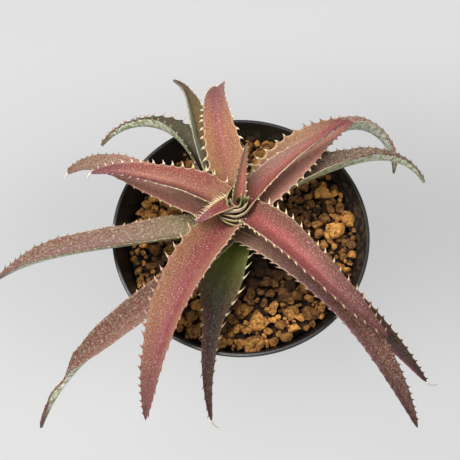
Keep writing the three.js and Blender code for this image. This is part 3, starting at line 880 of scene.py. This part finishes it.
def spine(body, looks, frame_at, side, reach, length, share, draw, seed):
    """A hooked spine rooted in the margin, a few dozen faces. length is what stands out of the margin."""
    point, forward, across, out = frame_at
    fold = math.radians(looks["fold"])
    outward = across * side * math.cos(fold) + out * math.sin(fold)
    leaning = margins_of(looks)[side][4]
    lean = math.radians(leaning + draw.uniform(-LEAN_SPREAD, LEAN_SPREAD))
    aim = outward * math.cos(lean) + forward * math.sin(lean)
    normal = out * math.cos(fold) - across * side * math.sin(fold)
    flat = normal.cross(aim)
    length = (length + SPINE_ROOT) * draw.uniform(*LENGTH_SPREAD)
    root = point + outward * (reach - SPINE_ROOT) - out * (EDGE / 2)
    hook = forward * (looks["hook"] * (1 if leaning > 0 else -1)) + normal * draw.uniform(-0.05, 0.2)
    base_width = min(0.62, 0.18 + 0.14 * length)
    rings = []
    for t in SPINE_RINGS:
        centre = root + aim * (length * t) + hook * (length * t * t)
        wide = base_width * (1 - t) ** 2 + 0.16 * (1 - t) + 0.04
        thick = 0.22 * (1 - t) + 0.045
        place = (t, share * looks["length"], seed)
        rings.append(body.ring(centre, flat, wide, normal, thick, place, (side, share, t)))
    end = root + aim * length + hook * length
    tip = body.point(end, (1, share * looks["length"], seed), (side, share, 1.0))
    body.tube([ring[::side] for ring in rings], tip, SPINE)


def thread(body, looks, start, seed):
    """The dried thread that the tip of a leaf ends in: a thin tube that bends most at its root."""
    length, turn, dip = looks["thread"]
    point, forward, across, out = start
    rings = []
    for i in range(THREAD_STEPS):
        share = i / THREAD_STEPS
        radius = 0.32 * (1 - share) ** 0.8 + 0.07
        ring = body.ring(point, across, radius, out, radius, (share, share * length, seed), (0, 1, share))
        rings.append(ring[::-1])
        bend = 0.3 * (1 - share)
        turned = Matrix.Rotation(math.radians(turn * bend), 3, out)
        turned = turned @ Matrix.Rotation(math.radians(-dip * bend), 3, across)
        forward, across, out = turned @ forward, turned @ across, turned @ out
        point = point + forward * (length / THREAD_STEPS)
    tip = body.point(point, (1, length, seed), (0, 1, 1))
    body.tube(rings, tip, THREAD)


def blade_ring(body, looks, frame_at, share, places, seed, settings):
    """The numbers of the points round one section, over the upper face to the right and back below."""
    point, _, across, out = frame_at
    fold = math.radians(looks["fold"])
    edge = min(EDGE, half_width(looks, share, -1, seed) * 0.5) / math.cos(fold)
    thickness = max(lerp(*THICKNESS, share), edge * 1.25)
    reach = {}
    wave = {}
    for side, margin in margins_of(looks).items():
        rise = spine_length(margin, share) * looks["deep"] * settings.spines
        rise *= scallop(share, places[side], 1.6 - looks["deep"])
        reach[side] = half_width(looks, share, side, seed) + rise
        wave[side] = margin_wave(looks, share, side, seed)

    def rib(x_share, depth, beyond=0.0):
        """A point of the section, from the right margin at -1 to the left one at 1."""
        side = 1 if x_share >= 0 else -1
        far = reach[side]
        size = abs(x_share)
        x = side * (far * math.cos(fold) * size + beyond)
        z = far * math.sin(fold) * size**CHANNEL_POWER + wave[side] * size**3 - depth
        place = (side * size * far, share * looks["length"], seed * NEXT_LEAF)
        return body.point(point + across * x + out * z, place, (x_share, share, far * (1 - size)))

    upper = [rib(1 - 2 * k / (TOP_POINTS - 1), 0.0) for k in range(TOP_POINTS)]
    right = rib(-1, edge / 2, edge * EDGE_BULGE)
    under = []
    for k in range(UNDER_POINTS):
        x_share = -1 + 2 * k / (UNDER_POINTS - 1)
        under.append(rib(x_share, edge + (thickness - edge) * (1 - abs(x_share) ** 2.2)))
    left = rib(1, edge / 2, edge * EDGE_BULGE)
    return [*upper, right, *under, left]


def skin_blade(body, rings):
    """The faces between the rings of a blade and over its two ends."""
    size = len(rings[0])
    for lower, higher in zip(rings, rings[1:]):
        for k in range(size):
            n = (k + 1) % size
            is_under = TOP_POINTS < k < TOP_POINTS + UNDER_POINTS
            body.face((lower[k], lower[n], higher[n], higher[k]), UNDER if is_under else UPPER)
    body.face(tuple(reversed(rings[0])), UNDER)
    body.face(tuple(rings[-1]), UNDER)


def set_spines(body, looks, line, places, seed, settings, draw):
    """The spines of both margins, each on the top of its scallop."""
    for side, margin in margins_of(looks).items():
        for share in places[side]:
            full = spine_length(margin, share) * settings.spines
            if full < SHORTEST_SPINE:
                continue
            in_scallop = full * looks["deep"] * 0.8
            reach = half_width(looks, share, side, seed) + in_scallop
            point, forward, across, out = line[round(share * (len(line) - 1))]
            foot = (point + out * margin_wave(looks, share, side, seed), forward, across, out)
            spine(body, looks, foot, side, reach, full - in_scallop, share, draw, seed * NEXT_LEAF)


def grow_leaf(body, looks, seed, settings, root=STEM_AXIS):
    """A blade with scalloped margins and their spines, and with a dried thread at some tips."""
    draw = random.Random(seed)
    length = looks["length"]
    steps = max(24, int(length / STATION_STEP))
    line = blade_line(looks, steps, root)
    places = {}
    for side, margin in margins_of(looks).items():
        places[side] = spine_places(margin, length, looks["bare"], draw)
    rings = []
    for i, frame_at in enumerate(line):
        rings.append(blade_ring(body, looks, frame_at, i / steps, places, seed, settings))
    skin_blade(body, rings)
    set_spines(body, looks, line, places, seed, settings, draw)
    if looks["thread"]:
        thread(body, looks, line[-1], seed * NEXT_LEAF)


def wrap_sheath(body, width, shade, path, seed):
    """The rim of a leaf's sheath: a thin wall along path, round the heart, that narrows at both ends."""
    steps = SHEATH_STEPS
    columns = [[point[k] for point in path] for k in range(3)]
    spots = [Vector([along(column, i / steps) for column in columns]) for i in range(steps + 1)]
    section = [
        (-1.4, -SHEATH_DEPTH),
        (-0.3, -1.2),
        (-0.15, -0.15),
        (0.0, 0.0),
        (width * 0.45, -0.2),
        (width * 0.9, -0.6),
        (width, -1.0),
        (-0.6, -SHEATH_DEPTH),
    ]
    rings = []
    for i, spot in enumerate(spots):
        ahead = (spots[min(i + 1, steps)] - spots[max(i - 1, 0)]).normalized()
        outside = ahead.cross(Vector((0, 0, 1))).normalized()
        size = math.sin(math.pi * min(0.97, max(0.03, i / steps))) ** 0.6
        ring = []
        for k, (out, up) in enumerate(section):
            at = spot + (outside * out + Vector((0, 0, up))) * size
            ring.append(body.point(at, (out * 2, i / 4, seed), (shade, i / steps, (k - 3) / 4)))
        rings.append(ring)
    tip = body.point(spots[-1], (0, steps / 4, seed), (shade, 1, 0))
    body.tube(rings, tip, THREAD)


def grow_heart(body, settings):
    """The tiny leaves and the sheaths round the newest leaf, which share its piece."""
    for i, (base, tip, width) in enumerate(LEAFLETS):
        course = Vector(tip) - Vector(base)
        heading = math.degrees(math.atan2(course.y, course.x))
        pitch = math.degrees(math.asin(course.z / course.length))
        small = {
            **LEAVES[0],
            "base": base[2],
            "length": course.length,
            "widths": (width, width, width * 0.8, width * 0.5, 0.4),
            "headings": (heading,) * 4,
            "pitches": (pitch + 4, pitch + 2, pitch - 2, pitch - 4),
        }
        grow_leaf(body, small, 60 + i, settings, base[:2])
    for i, (width, shade, path) in enumerate(SHEATHS):
        wrap_sheath(body, width, shade, path, 80.0 + i)


# Settings


class PotSettings(bpy.types.PropertyGroup):
    """Sizes and finish of the pot."""

    sides: bpy.props.IntProperty(name="Sides", description="Facets round the pot", default=128, min=24)
    plastic: bpy.props.FloatVectorProperty(
        name="Plastic", description="Colour of the plastic", subtype="COLOR", default=(0.012, 0.011, 0.011)
    )
    dust: bpy.props.FloatVectorProperty(
        name="Dust", description="Colour of the dust inside", subtype="COLOR", default=(0.13, 0.085, 0.045)
    )


class MixSettings(bpy.types.PropertyGroup):
    """Sizes and colours of the clay grains."""

    grains: bpy.props.IntProperty(name="Grains", description="How many are tried", default=9000, min=10)
    smallest: bpy.props.FloatProperty(
        name="Smallest", description="Smallest grain", default=1.25 * MM, subtype="DISTANCE", unit="LENGTH"
    )
    largest: bpy.props.FloatProperty(
        name="Largest", description="Largest grain", default=4.6 * MM, subtype="DISTANCE", unit="LENGTH"
    )
    light: bpy.props.FloatVectorProperty(
        name="Light", description="Colour of the pale grains", subtype="COLOR", default=(1.0, 0.46, 0.10)
    )
    dark: bpy.props.FloatVectorProperty(
        name="Dark", description="Colour of the dark grains", subtype="COLOR", default=(0.15, 0.054, 0.010)
    )


class LeafSettings(bpy.types.PropertyGroup):
    """Spines and surface of the leaves."""

    spines: bpy.props.FloatProperty(name="Spines", description="Factor on their length", default=1.1)
    specks: bpy.props.FloatProperty(name="Specks", description="Strength of the pale specks", default=1.0)


class StageSettings(bpy.types.PropertyGroup):
    """Floor, light and camera."""

    floor: bpy.props.FloatVectorProperty(
        name="Floor", description="Colour of the floor", subtype="COLOR", default=(0.04, 0.04, 0.0405)
    )
    glow: bpy.props.FloatProperty(name="Glow", description="Light from the lit floor", default=0.667)
    sky: bpy.props.FloatProperty(name="Sky", description="Strength of the light all round", default=0.50)
    softbox: bpy.props.FloatProperty(
        name="Softbox", description="Power of the soft light", default=4.3, subtype="POWER", unit="POWER"
    )
    lens: bpy.props.FloatProperty(
        name="Lens", description="Focal length in mm", default=57.09, subtype="DISTANCE_CAMERA"
    )


# Pot


def wall_radius(height):
    """Radius of the outer wall, without the lip."""
    if height < COLLAR_BOTTOM:
        return lerp(BASE_RADIUS, COLLAR_BOTTOM_RADIUS - COLLAR_STEP, height / COLLAR_BOTTOM)
    rise = (height - COLLAR_BOTTOM) / (LIP_BOTTOM - COLLAR_BOTTOM)
    return lerp(COLLAR_BOTTOM_RADIUS, COLLAR_TOP_RADIUS, rise)


def plastic_material(settings, name, gloss, scuffing, dusty):
    """Black injection-moulded plastic with fine scuffs. Inside the pot it is dull, and dusty with clay."""
    material, tree, shader = new_material(name, Specular_IOR_Level=gloss)
    place = tree.object_place()
    smears = tree.noise(place, (90, 90, 31.5), 5.0, 0.65)
    scratches = tree.noise(place, (420, 420, 2520), 3.0)
    skin = (*settings.plastic, 1)
    rough = tree.ramp(smears, 0.3, 0.7, 0.24, 0.42)
    if dusty:
        # Dust near the mix, and a faint paleness in the dust's colour, towards the back and the right of the
        # wall and none at the left
        at = tree.parts(place)
        towards_back_right = tree.ramp(tree.plus(at["X"], at["Y"]), -0.02, 0.035)
        above = tree.math("MULTIPLY_ADD", at["X"], -2 * SOIL_RISE / RIM_RADIUS, at["Z"])
        near_mix = tree.times(tree.ramp(above, 0.070, 0.0625), towards_back_right)
        dust = tree.times(tree.ramp(tree.noise(place, 420.0, 3.0, 0.6), 0.48, 0.60), near_mix)
        dust = tree.plus(tree.times(dust, 0.6), tree.times(towards_back_right, 0.06))
        skin = tree.mix(dust, skin, (*settings.dust, 1))
        rough = tree.plus(rough, tree.times(near_mix, 0.35))
    scuffed = tree.times(tree.ramp(scratches, 0.62, 0.72), tree.ramp(smears, 0.45, 0.6))
    skin = tree.paint(skin, colour("scuff"), scuffed, scuffing)
    dress(tree, shader, skin, rough, tree.plus(smears, tree.times(scratches, 0.3)), 0.00008)
    return material


def pot_outline():
    """The pot's section as (radius, height), up the outside and down the inside."""
    step_height = COLLAR_BOTTOM - COLLAR_STEP
    return [
        (BASE_RADIUS - FOOT_CHAMFER, 0),
        (BASE_RADIUS, FOOT_CHAMFER),
        (wall_radius(step_height), step_height),
        (COLLAR_BOTTOM_RADIUS, COLLAR_BOTTOM),
        (COLLAR_TOP_RADIUS, LIP_BOTTOM - LIP_FLARE),
        (RIM_RADIUS, LIP_BOTTOM),
        (RIM_RADIUS, RIM_HEIGHT),
        (RIM_RADIUS - LIP_WIDTH, RIM_HEIGHT),
        (COLLAR_TOP_RADIUS - WALL, LIP_BOTTOM),
        (wall_radius(step_height) - WALL, step_height),
        (wall_radius(FLOOR + FLOOR_CORNER) - WALL, FLOOR + FLOOR_CORNER),
        (wall_radius(FLOOR) - WALL - FLOOR_CORNER, FLOOR),
    ]


def drill(pot, x, y):
    """Cuts a drainage hole through the floor of the pot."""
    start_afresh()
    middle = Vector((x, y, FLOOR / 2)) * MM
    bpy.ops.mesh.primitive_cylinder_add(
        vertices=32, radius=DRAIN_RADIUS * MM, depth=4 * FLOOR * MM, location=middle
    )
    cutter = bpy.context.object
    hole = pot.modifiers.new("hole", "BOOLEAN")
    hole.operation = "DIFFERENCE"
    hole.solver = "EXACT"
    hole.object = cutter
    apply_modifiers(pot)
    bpy.data.objects.remove(cutter)


def round_edges(pot):
    edges = pot.modifiers.new("edges", "BEVEL")
    edges.width = EDGE_ROUNDING * MM
    edges.segments = 3
    edges.limit_method = "ANGLE"
    edges.angle_limit = math.radians(28)
    apply_modifiers(pot)


class PLANT_OT_pot(bpy.types.Operator):
    """Models the tapered pot with its collar, lip and drainage holes"""

    bl_idname = "plant.pot"
    bl_label = "Pot"

    def execute(self, context):
        settings = context.scene.plant_pot
        pot = turn_outline(pot_outline(), settings.sides, "pot")
        for i in range(DRAIN_HOLES):
            angle = 2 * math.pi * (i + 0.5) / DRAIN_HOLES
            drill(pot, DRAIN_RING * math.cos(angle), DRAIN_RING * math.sin(angle))
        round_edges(pot)
        for face in pot.data.polygons:
            faces_inward = face.normal.xy.dot(face.center.xy) < 0
            face.material_index = int(faces_inward)
        smooth(pot, 30)
        outer = plastic_material(settings, "black plastic", 0.5, 0.35, False)
        inner = plastic_material(settings, "inner wall", 0.14, 0.08, True)
        settle(pot, "nursery_pot", ["pot"], [outer, inner])
        return {"FINISHED"}


# Potting mix


def soil_level(x):
    return SOIL_LEVEL + SOIL_RISE * x / RIM_RADIUS


def clay_material(settings, blotches):
    """Fired clay: porous and matt, each grain in its own tone, darkened by painted shade near the stem and
    deep in the heap, and in its pits, pores and hollows.
    """
    material, tree, shader = new_material("fired clay")
    place = tree.object_place()
    mottle = tree.noise(place, 700.0, 5.0, 0.7)
    pores = tree.noise(place, 2600.0, 3.0, 0.6)
    pits = tree.noise(place, 520.0, 6.0, 0.75)
    shift = tree.mix(0.004, (0, 0, 0, 1), pits)
    warped = tree.add("ShaderNodeVectorMath", {0: place, 1: shift}, operation="ADD")[0]
    lumps = tree.add("ShaderNodeTexVoronoi", {"Vector": warped, "Scale": 620.0})["Distance"]
    stains = tree.group(blotches, {"Place": place, "Scale": 320.0, "Threshold": 0.62})["Mask"]
    shade = tree.math("MULTIPLY_ADD", mottle, 0.9, -0.45)
    # Each grain's tone, with its painted shade near the stem and deep in the heap
    shade = tree.plus(tree.attribute("tone_and_shade", "Fac"), shade, clamp=True)
    skin = tree.mix(shade, (*settings.dark, 1), (*settings.light, 1))
    skin = tree.paint(skin, colour("clay stain"), stains, 0.4)
    # Painted shade where the relief sinks: in pits, in the hollows between lumps and in pores
    skin = tree.mix(tree.ramp(pits, 0.42, 0.34), skin, colour("painted shade in pits"))
    skin = tree.mix(tree.ramp(lumps, 0.5, 0.9), skin, colour("painted shade in hollows"))
    skin = tree.mix(tree.ramp(pores, 0.42, 0.3), skin, colour("painted shade in pores"))
    # Painted shade near the stem and deep in the heap, laid over the whole grain
    painted_shade = tree.mix(tree.ramp(tree.attribute("unshaded", "Fac"), 0.0, 0.9), colour("painted_shade"), (1, 1, 1, 1))
    skin = tree.mix(1.0, skin, painted_shade, "MULTIPLY")
    relief = tree.minus(tree.plus(tree.times(pits, 1.2), tree.times(pores, 0.4)), tree.times(lumps, 0.6))
    dress(tree, shader, skin, tree.ramp(mottle, 0.3, 0.7, 0.8, 0.95), relief, 0.0013)
    return material


def bed_material():
    """The fine mix between and below the grains, nearly black as painted shade in the gaps between them,
    blacker in its own hollows.
    """
    material, tree, shader = new_material("fine mix")
    cells = tree.add("ShaderNodeTexVoronoi", {"Vector": tree.object_place(), "Scale": 330.0})
    lumps = tree.ramp(cells["Distance"], 0.1, 0.6)
    # Painted shade: lumps nearly black, the gaps between them blacker
    skin = tree.mix(lumps, colour("mix lump in painted shade"), colour("mix gap in painted shade"))
    dress(tree, shader, skin, tree.ramp(lumps, 0, 1, 0.85, 0.95), tree.minus(1.0, lumps), 0.0015)
    return material


def grain_shapes(draw):
    """Lumps of fired clay, each about one millimetre across: blocks with broken sides and worn edges."""
    shapes = []
    for i in range(LUMP_SHAPES):
        start_afresh()
        bpy.ops.mesh.primitive_ico_sphere_add(subdivisions=2, radius=0.6 * MM)
        shape = bpy.context.object
        bpy.ops.object.mode_set(mode="EDIT")
        for _ in range(LUMP_CUTS):
            facing = Vector((draw.uniform(-1, 1), draw.uniform(-1, 1), draw.uniform(-1, 1))).normalized()
            bpy.ops.mesh.select_all(action="SELECT")
            bpy.ops.mesh.bisect(
                plane_co=facing * draw.uniform(0.26, 0.42) * MM,
                plane_no=facing,
                use_fill=True,
                clear_outer=True,
            )
        bpy.ops.mesh.select_all(action="SELECT")
        bpy.ops.mesh.quads_convert_to_tris()
        bpy.ops.mesh.remove_doubles(threshold=0.07 * MM)
        bpy.ops.transform.vertex_random(offset=0.055 * MM, seed=i)
        bpy.ops.mesh.normals_make_consistent(inside=False)
        bpy.ops.object.mode_set(mode="OBJECT")
        smooth(shape, 38)
        shapes.append(shape)
    return shapes


def from_stem(x, y):
    return math.hypot(x - STEM_AXIS[0], y - STEM_AXIS[1])


def scatter_grains(settings, draw):
    """Places of the grains as (x, y, z, diameter), the large ones first, layer by layer."""
    inside = wall_radius(SOIL_LEVEL) - WALL
    grains = [(x, y, soil_level(x) + 0.1 * size, size) for x, y, size in LARGE_GRAINS]
    for lift, closeness, share in GRAIN_LAYERS:
        here = list(grains) if lift > 0 else []
        tries = int(settings.grains * share)
        for i in range(tries):
            size = lerp(settings.largest, settings.smallest, (i / tries) ** 0.5) / MM
            size *= draw.uniform(0.85, 1.2)
            radius = (inside - size * 0.45) * math.sqrt(draw.random())
            angle = draw.uniform(0, 2 * math.pi)
            x, y = radius * math.cos(angle), radius * math.sin(angle)
            if from_stem(x, y) < STEM_RADIUS + size * 0.5:
                continue
            unevenness = 1.3 * noise.noise((x / 9, y / 9, lift))
            z = soil_level(x) + lift + unevenness + draw.uniform(-0.7, 0.7)
            if radius + size * 0.52 > wall_radius(z - size * 0.4) - WALL:
                continue
            gaps = (math.hypot(x - gx, y - gy) - closeness * (size + gs) / 2 for gx, gy, _, gs in here)
            if all(gap >= 0 for gap in gaps):
                here.append((x, y, z, size))
        grains += [grain for grain in here if grain not in grains]
    return grains


def fine_bed():
    """The fill of the pot below the grains, with an uneven surface."""
    top = SOIL_LEVEL - BED_DEPTH
    side = wall_radius(top) - WALL - CLEARANCE
    outline = [(wall_radius(FLOOR) - WALL - FLOOR_CORNER - CLEARANCE, FLOOR + CLEARANCE)]
    outline += [(side * (1 - i / BED_RINGS), top) for i in range(BED_RINGS)]
    bed = turn_outline(outline, 72, "bed")
    for vertex in bed.data.vertices:
        x, y, z = vertex.co / MM
        if z > top - 1:
            vertex.co.z = (soil_level(x) - BED_DEPTH + 1.2 * noise.noise((x / 4, y / 4, 1.0))) * MM
    smooth(bed, 60)
    return bed


def lay_grain(shape, grain, draw):
    """A copy of a lump at its place in the pot, squeezed and turned, with its tone and its painted shade."""
    x, y, z, size = grain
    copy = shape.copy()
    copy.data = copy.data.copy()
    bpy.context.scene.collection.objects.link(copy)
    squeeze = Matrix.Diagonal((size, size * draw.uniform(0.72, 0.95), size * draw.uniform(0.62, 0.85), 1))
    turned = Euler([draw.uniform(0, 2 * math.pi) for _ in range(3)]).to_matrix().to_4x4()
    spun = Matrix.Rotation(draw.uniform(0, 2 * math.pi), 4, "Z")
    copy.data.transform(Matrix.Translation(Vector((x, y, z)) * MM) @ spun @ squeeze @ turned)
    # Painted shade: darker near the stem, under the leaves, and deeper in the heap
    depth = max(0.0, soil_level(x) + 0.5 - z)
    unshaded = min(1, max(0.05, (from_stem(x, y) - PAINTED_SHADE_FROM) / (PAINTED_SHADE_TO - PAINTED_SHADE_FROM)))
    unshaded *= max(0.04, 1 - depth / PAINTED_SHADE_DEPTH)
    for label, value in (("tone_and_shade", draw.uniform(0.15, 1.0) * lerp(0.4, 1, unshaded)), ("unshaded", unshaded)):
        layer = copy.data.attributes.new(label, "FLOAT", "POINT")
        layer.data.foreach_set("value", [value] * len(copy.data.vertices))
    return copy


class PLANT_OT_potting_mix(bpy.types.Operator):
    """Models the fill of the pot and the clay grains on it"""

    bl_idname = "plant.potting_mix"
    bl_label = "Potting mix"

    def execute(self, context):
        settings = context.scene.plant_mix
        settle(fine_bed(), "fine_mix", [], [bed_material()])

        draw = random.Random(5)
        shapes = grain_shapes(draw)
        copies = [lay_grain(draw.choice(shapes), grain, draw) for grain in scatter_grains(settings, draw)]
        for shape in shapes:
            bpy.data.objects.remove(shape)
        select_only(*copies)
        bpy.ops.object.join()
        clay = clay_material(settings, bpy.data.node_groups["Blotches"])
        settle(bpy.context.object, "clay_grains", ["potting_mix"], [clay])
        return {"FINISHED"}


# Stem


def stem_material():
    """A dull brown stem with the rings that old leaves leave."""
    material, tree, shader = new_material("stem bark")
    rings = tree.noise(tree.object_place(), (200, 200, 1500), 4.0)
    skin = tree.mix(tree.ramp(rings, 0.35, 0.65), colour("leaf scar"), colour("dry bark"))
    dress(tree, shader, skin, tree.ramp(rings, 0.3, 0.7, 0.7, 0.9), rings, 0.0008)
    return material


class PLANT_OT_stem(bpy.types.Operator):
    """Models the short stem with its leaf scars and tapered rootstock"""

    bl_idname = "plant.stem"
    bl_label = "Stem"

    def execute(self, context):
        outline = []
        for i in range(STEM_RINGS):
            height = STEM_PROFILE[0][1] + i * RING_SPACING
            lower = max(k for k in range(len(STEM_PROFILE) - 1) if STEM_PROFILE[k][1] <= height)
            (r0, h0), (r1, h1) = STEM_PROFILE[lower], STEM_PROFILE[lower + 1]
            radius = lerp(r0, r1, min(1, (height - h0) / (h1 - h0)))
            scar = SCAR_DEPTH if i % 3 == 0 else 0.0
            outline.append((max(0.3, radius - scar), height))
        stem = turn_outline(outline, 24, "stem")
        stem.location = (STEM_AXIS[0] * MM, STEM_AXIS[1] * MM, 0)
        select_only(stem)
        bpy.ops.object.shade_smooth()
        settle(stem, "plant_stem", ["stem"], [stem_material()])
        return {"FINISHED"}


class PLANT_OT_leaves(bpy.types.Operator):
    """Models the nineteen leaves of the rosette with their spines"""

    bl_idname = "plant.leaves"
    bl_label = "Leaves"

    def execute(self, context):
        settings = context.scene.plant_leaves
        specks, blotches = bpy.data.node_groups["Specks"], bpy.data.node_groups["Blotches"]
        skin_group = leaf_skin_group(specks)
        spines = {pair: spine_material(*pair) for pair in sorted({looks["spines"] for looks in LEAVES})}
        threads = spine_material("blush", "pale")
        sheaths = sheath_material()
        for number, looks in enumerate(LEAVES, start=1):
            looks = {**looks, "specks": looks["specks"] * settings.specks}
            body = Body()
            grow_leaf(body, looks, number, settings)
            if number == 1:
                grow_heart(body, settings)
            piece = body.make(looks["node"] + "_blade")
            materials = [
                leaf_material(looks, skin_group),
                underside_material(looks, specks, blotches),
                spines[looks["spines"]],
                sheaths if number == 1 else threads,
            ]
            kind = "heart_leaf" if number == 1 else "young_leaf" if number <= YOUNG_LEAVES else "old_leaf"
            settle(piece, f"{kind}_{number:02d}", [looks["node"]], materials)
        return {"FINISHED"}


# Stage: places and sizes in metres, the camera's sensor in millimetres

FLOOR_SIZE = 6
SENSOR_WIDTH = 36
CAMERA_AT = (0.0, -0.1018, 0.3058)
CAMERA_FORWARD = (-0.01489, 0.39838, -0.91710)
CAMERA_UP = (-0.03801, 0.91632, 0.39865)
CAMERA_RIGHT = (0.99917, 0.04079, 0.00150)
SOFTBOX_AT = (-0.16, 0.0, 0.60)
SOFTBOX_AIM = (0, 0, 0.07)
SOFTBOX_SIZE = 0.36


def floor_material(settings):
    """A pale table that glows, with painted shadow: dimmer behind the pot, to the left of it and at the
    front right.
    """
    material, tree, shader = new_material("pale floor", Roughness=0.7)
    shader.inputs["Emission Color"].default_value = (1.0, 1.0, 1.0, 1)
    place = tree.object_place()
    paler = tuple(min(1, x * 1.03) for x in settings.floor)
    cloud = tree.noise(place, 3.0, 2.0)
    tree.feed(shader.inputs["Base Color"], tree.mix(cloud, (*settings.floor, 1), (*paler, 1)))
    at = tree.parts(place)
    # Painted shadow: the floor's glow is dimmed round a spot behind the pot, one at its left and at the
    # front right
    to_painted_shadow_behind = tree.distance(tree.stretched(place, (0.38, 1, 1)), (0.026, 0.046, 0))
    to_painted_shadow_left = tree.distance(place, (-0.075, 0.008, 0))
    painted_shadow_front_right = tree.times(tree.ramp(at["X"], -0.06, 0.10), tree.ramp(at["Y"], 0.12, -0.04))
    strength = tree.times(tree.ramp(to_painted_shadow_behind, 0.0, 0.105, 0.76, 1.0), settings.glow)
    strength = tree.times(strength, tree.math("MULTIPLY_ADD", painted_shadow_front_right, -0.05, 1.0))
    strength = tree.times(strength, tree.minus(1.0, tree.ramp(to_painted_shadow_left, 0.075, 0.02, 0.0, 0.09)))
    tree.feed(shader.inputs["Emission Strength"], strength)
    return material


def hang_sky(scene, strength):
    """Even, slightly cool light from all round."""
    world = bpy.data.worlds.new("soft sky")
    world.use_nodes = True
    sky = world.node_tree.nodes["Background"]
    sky.inputs["Color"].default_value = (0.97, 0.985, 1.0, 1)
    sky.inputs["Strength"].default_value = strength
    scene.world = world


def hang_softbox(power):
    """The large soft light above the left of the plant, slightly warm."""
    bpy.ops.object.light_add(type="AREA", location=SOFTBOX_AT)
    softbox = bpy.context.object
    softbox.data.size = SOFTBOX_SIZE
    softbox.data.energy = power
    softbox.data.color = (1.0, 0.98, 0.95)
    softbox.rotation_euler = (Vector(SOFTBOX_AIM) - softbox.location).to_track_quat("-Z", "Y").to_euler()


def place_camera(scene, lens):
    camera_data = bpy.data.cameras.new("camera")
    camera = bpy.data.objects.new("camera", camera_data)
    scene.collection.objects.link(camera)
    camera_data.sensor_width = SENSOR_WIDTH
    camera_data.lens = lens
    camera_data.clip_start = 0.01
    axes = (Vector(CAMERA_RIGHT), Vector(CAMERA_UP), -Vector(CAMERA_FORWARD))
    camera.matrix_world = Matrix.Translation(CAMERA_AT) @ Matrix(axes).transposed().to_4x4()
    scene.camera = camera


class PLANT_OT_stage(bpy.types.Operator):
    """Adds the pale floor, the soft light and the camera"""

    bl_idname = "plant.stage"
    bl_label = "Stage"

    def execute(self, context):
        settings = context.scene.plant_stage
        start_afresh()
        bpy.ops.mesh.primitive_plane_add(size=FLOOR_SIZE)
        floor = bpy.context.object
        floor.name = "floor"
        floor.data.materials.append(floor_material(settings))
        hang_sky(context.scene, settings.sky)
        hang_softbox(settings.softbox)
        place_camera(context.scene, settings.lens)
        context.scene.view_settings.view_transform = "Standard"
        return {"FINISHED"}


class PLANT_PT_panel(bpy.types.Panel):
    """Lists the steps of the model"""

    bl_idname = "PLANT_PT_panel"
    bl_label = "Potted orthophytum"
    bl_space_type = "VIEW_3D"
    bl_region_type = "UI"
    bl_category = "Potted plant"

    def draw(self, context):
        for group, operators in (
            (context.scene.plant_stage, (PLANT_OT_stage,)),
            (context.scene.plant_pot, (PLANT_OT_pot,)),
            (context.scene.plant_mix, (PLANT_OT_potting_mix, PLANT_OT_stem)),
            (context.scene.plant_leaves, (PLANT_OT_leaves,)),
        ):
            for operator in operators:
                self.layout.operator(operator.bl_idname)
            for name in group.bl_rna.properties.keys():
                if name not in ("rna_type", "name"):
                    self.layout.prop(group, name)


CLASSES = (
    PotSettings,
    MixSettings,
    LeafSettings,
    StageSettings,
    PLANT_OT_pot,
    PLANT_OT_potting_mix,
    PLANT_OT_stem,
    PLANT_OT_leaves,
    PLANT_OT_stage,
    PLANT_PT_panel,
)


def register():
    for item in CLASSES:
        bpy.utils.register_class(item)
    bpy.types.Scene.plant_pot = bpy.props.PointerProperty(type=PotSettings)
    bpy.types.Scene.plant_mix = bpy.props.PointerProperty(type=MixSettings)
    bpy.types.Scene.plant_leaves = bpy.props.PointerProperty(type=LeafSettings)
    bpy.types.Scene.plant_stage = bpy.props.PointerProperty(type=StageSettings)


def unregister():
    del bpy.types.Scene.plant_pot
    del bpy.types.Scene.plant_mix
    del bpy.types.Scene.plant_leaves
    del bpy.types.Scene.plant_stage
    for item in reversed(CLASSES):
        bpy.utils.unregister_class(item)


def main():
    register()
    specks_group()
    blotches_group()
    bpy.ops.plant.stage()
    bpy.ops.plant.pot()
    bpy.ops.plant.potting_mix()
    bpy.ops.plant.stem()
    bpy.ops.plant.leaves()


if __name__ == "__main__":
    main()
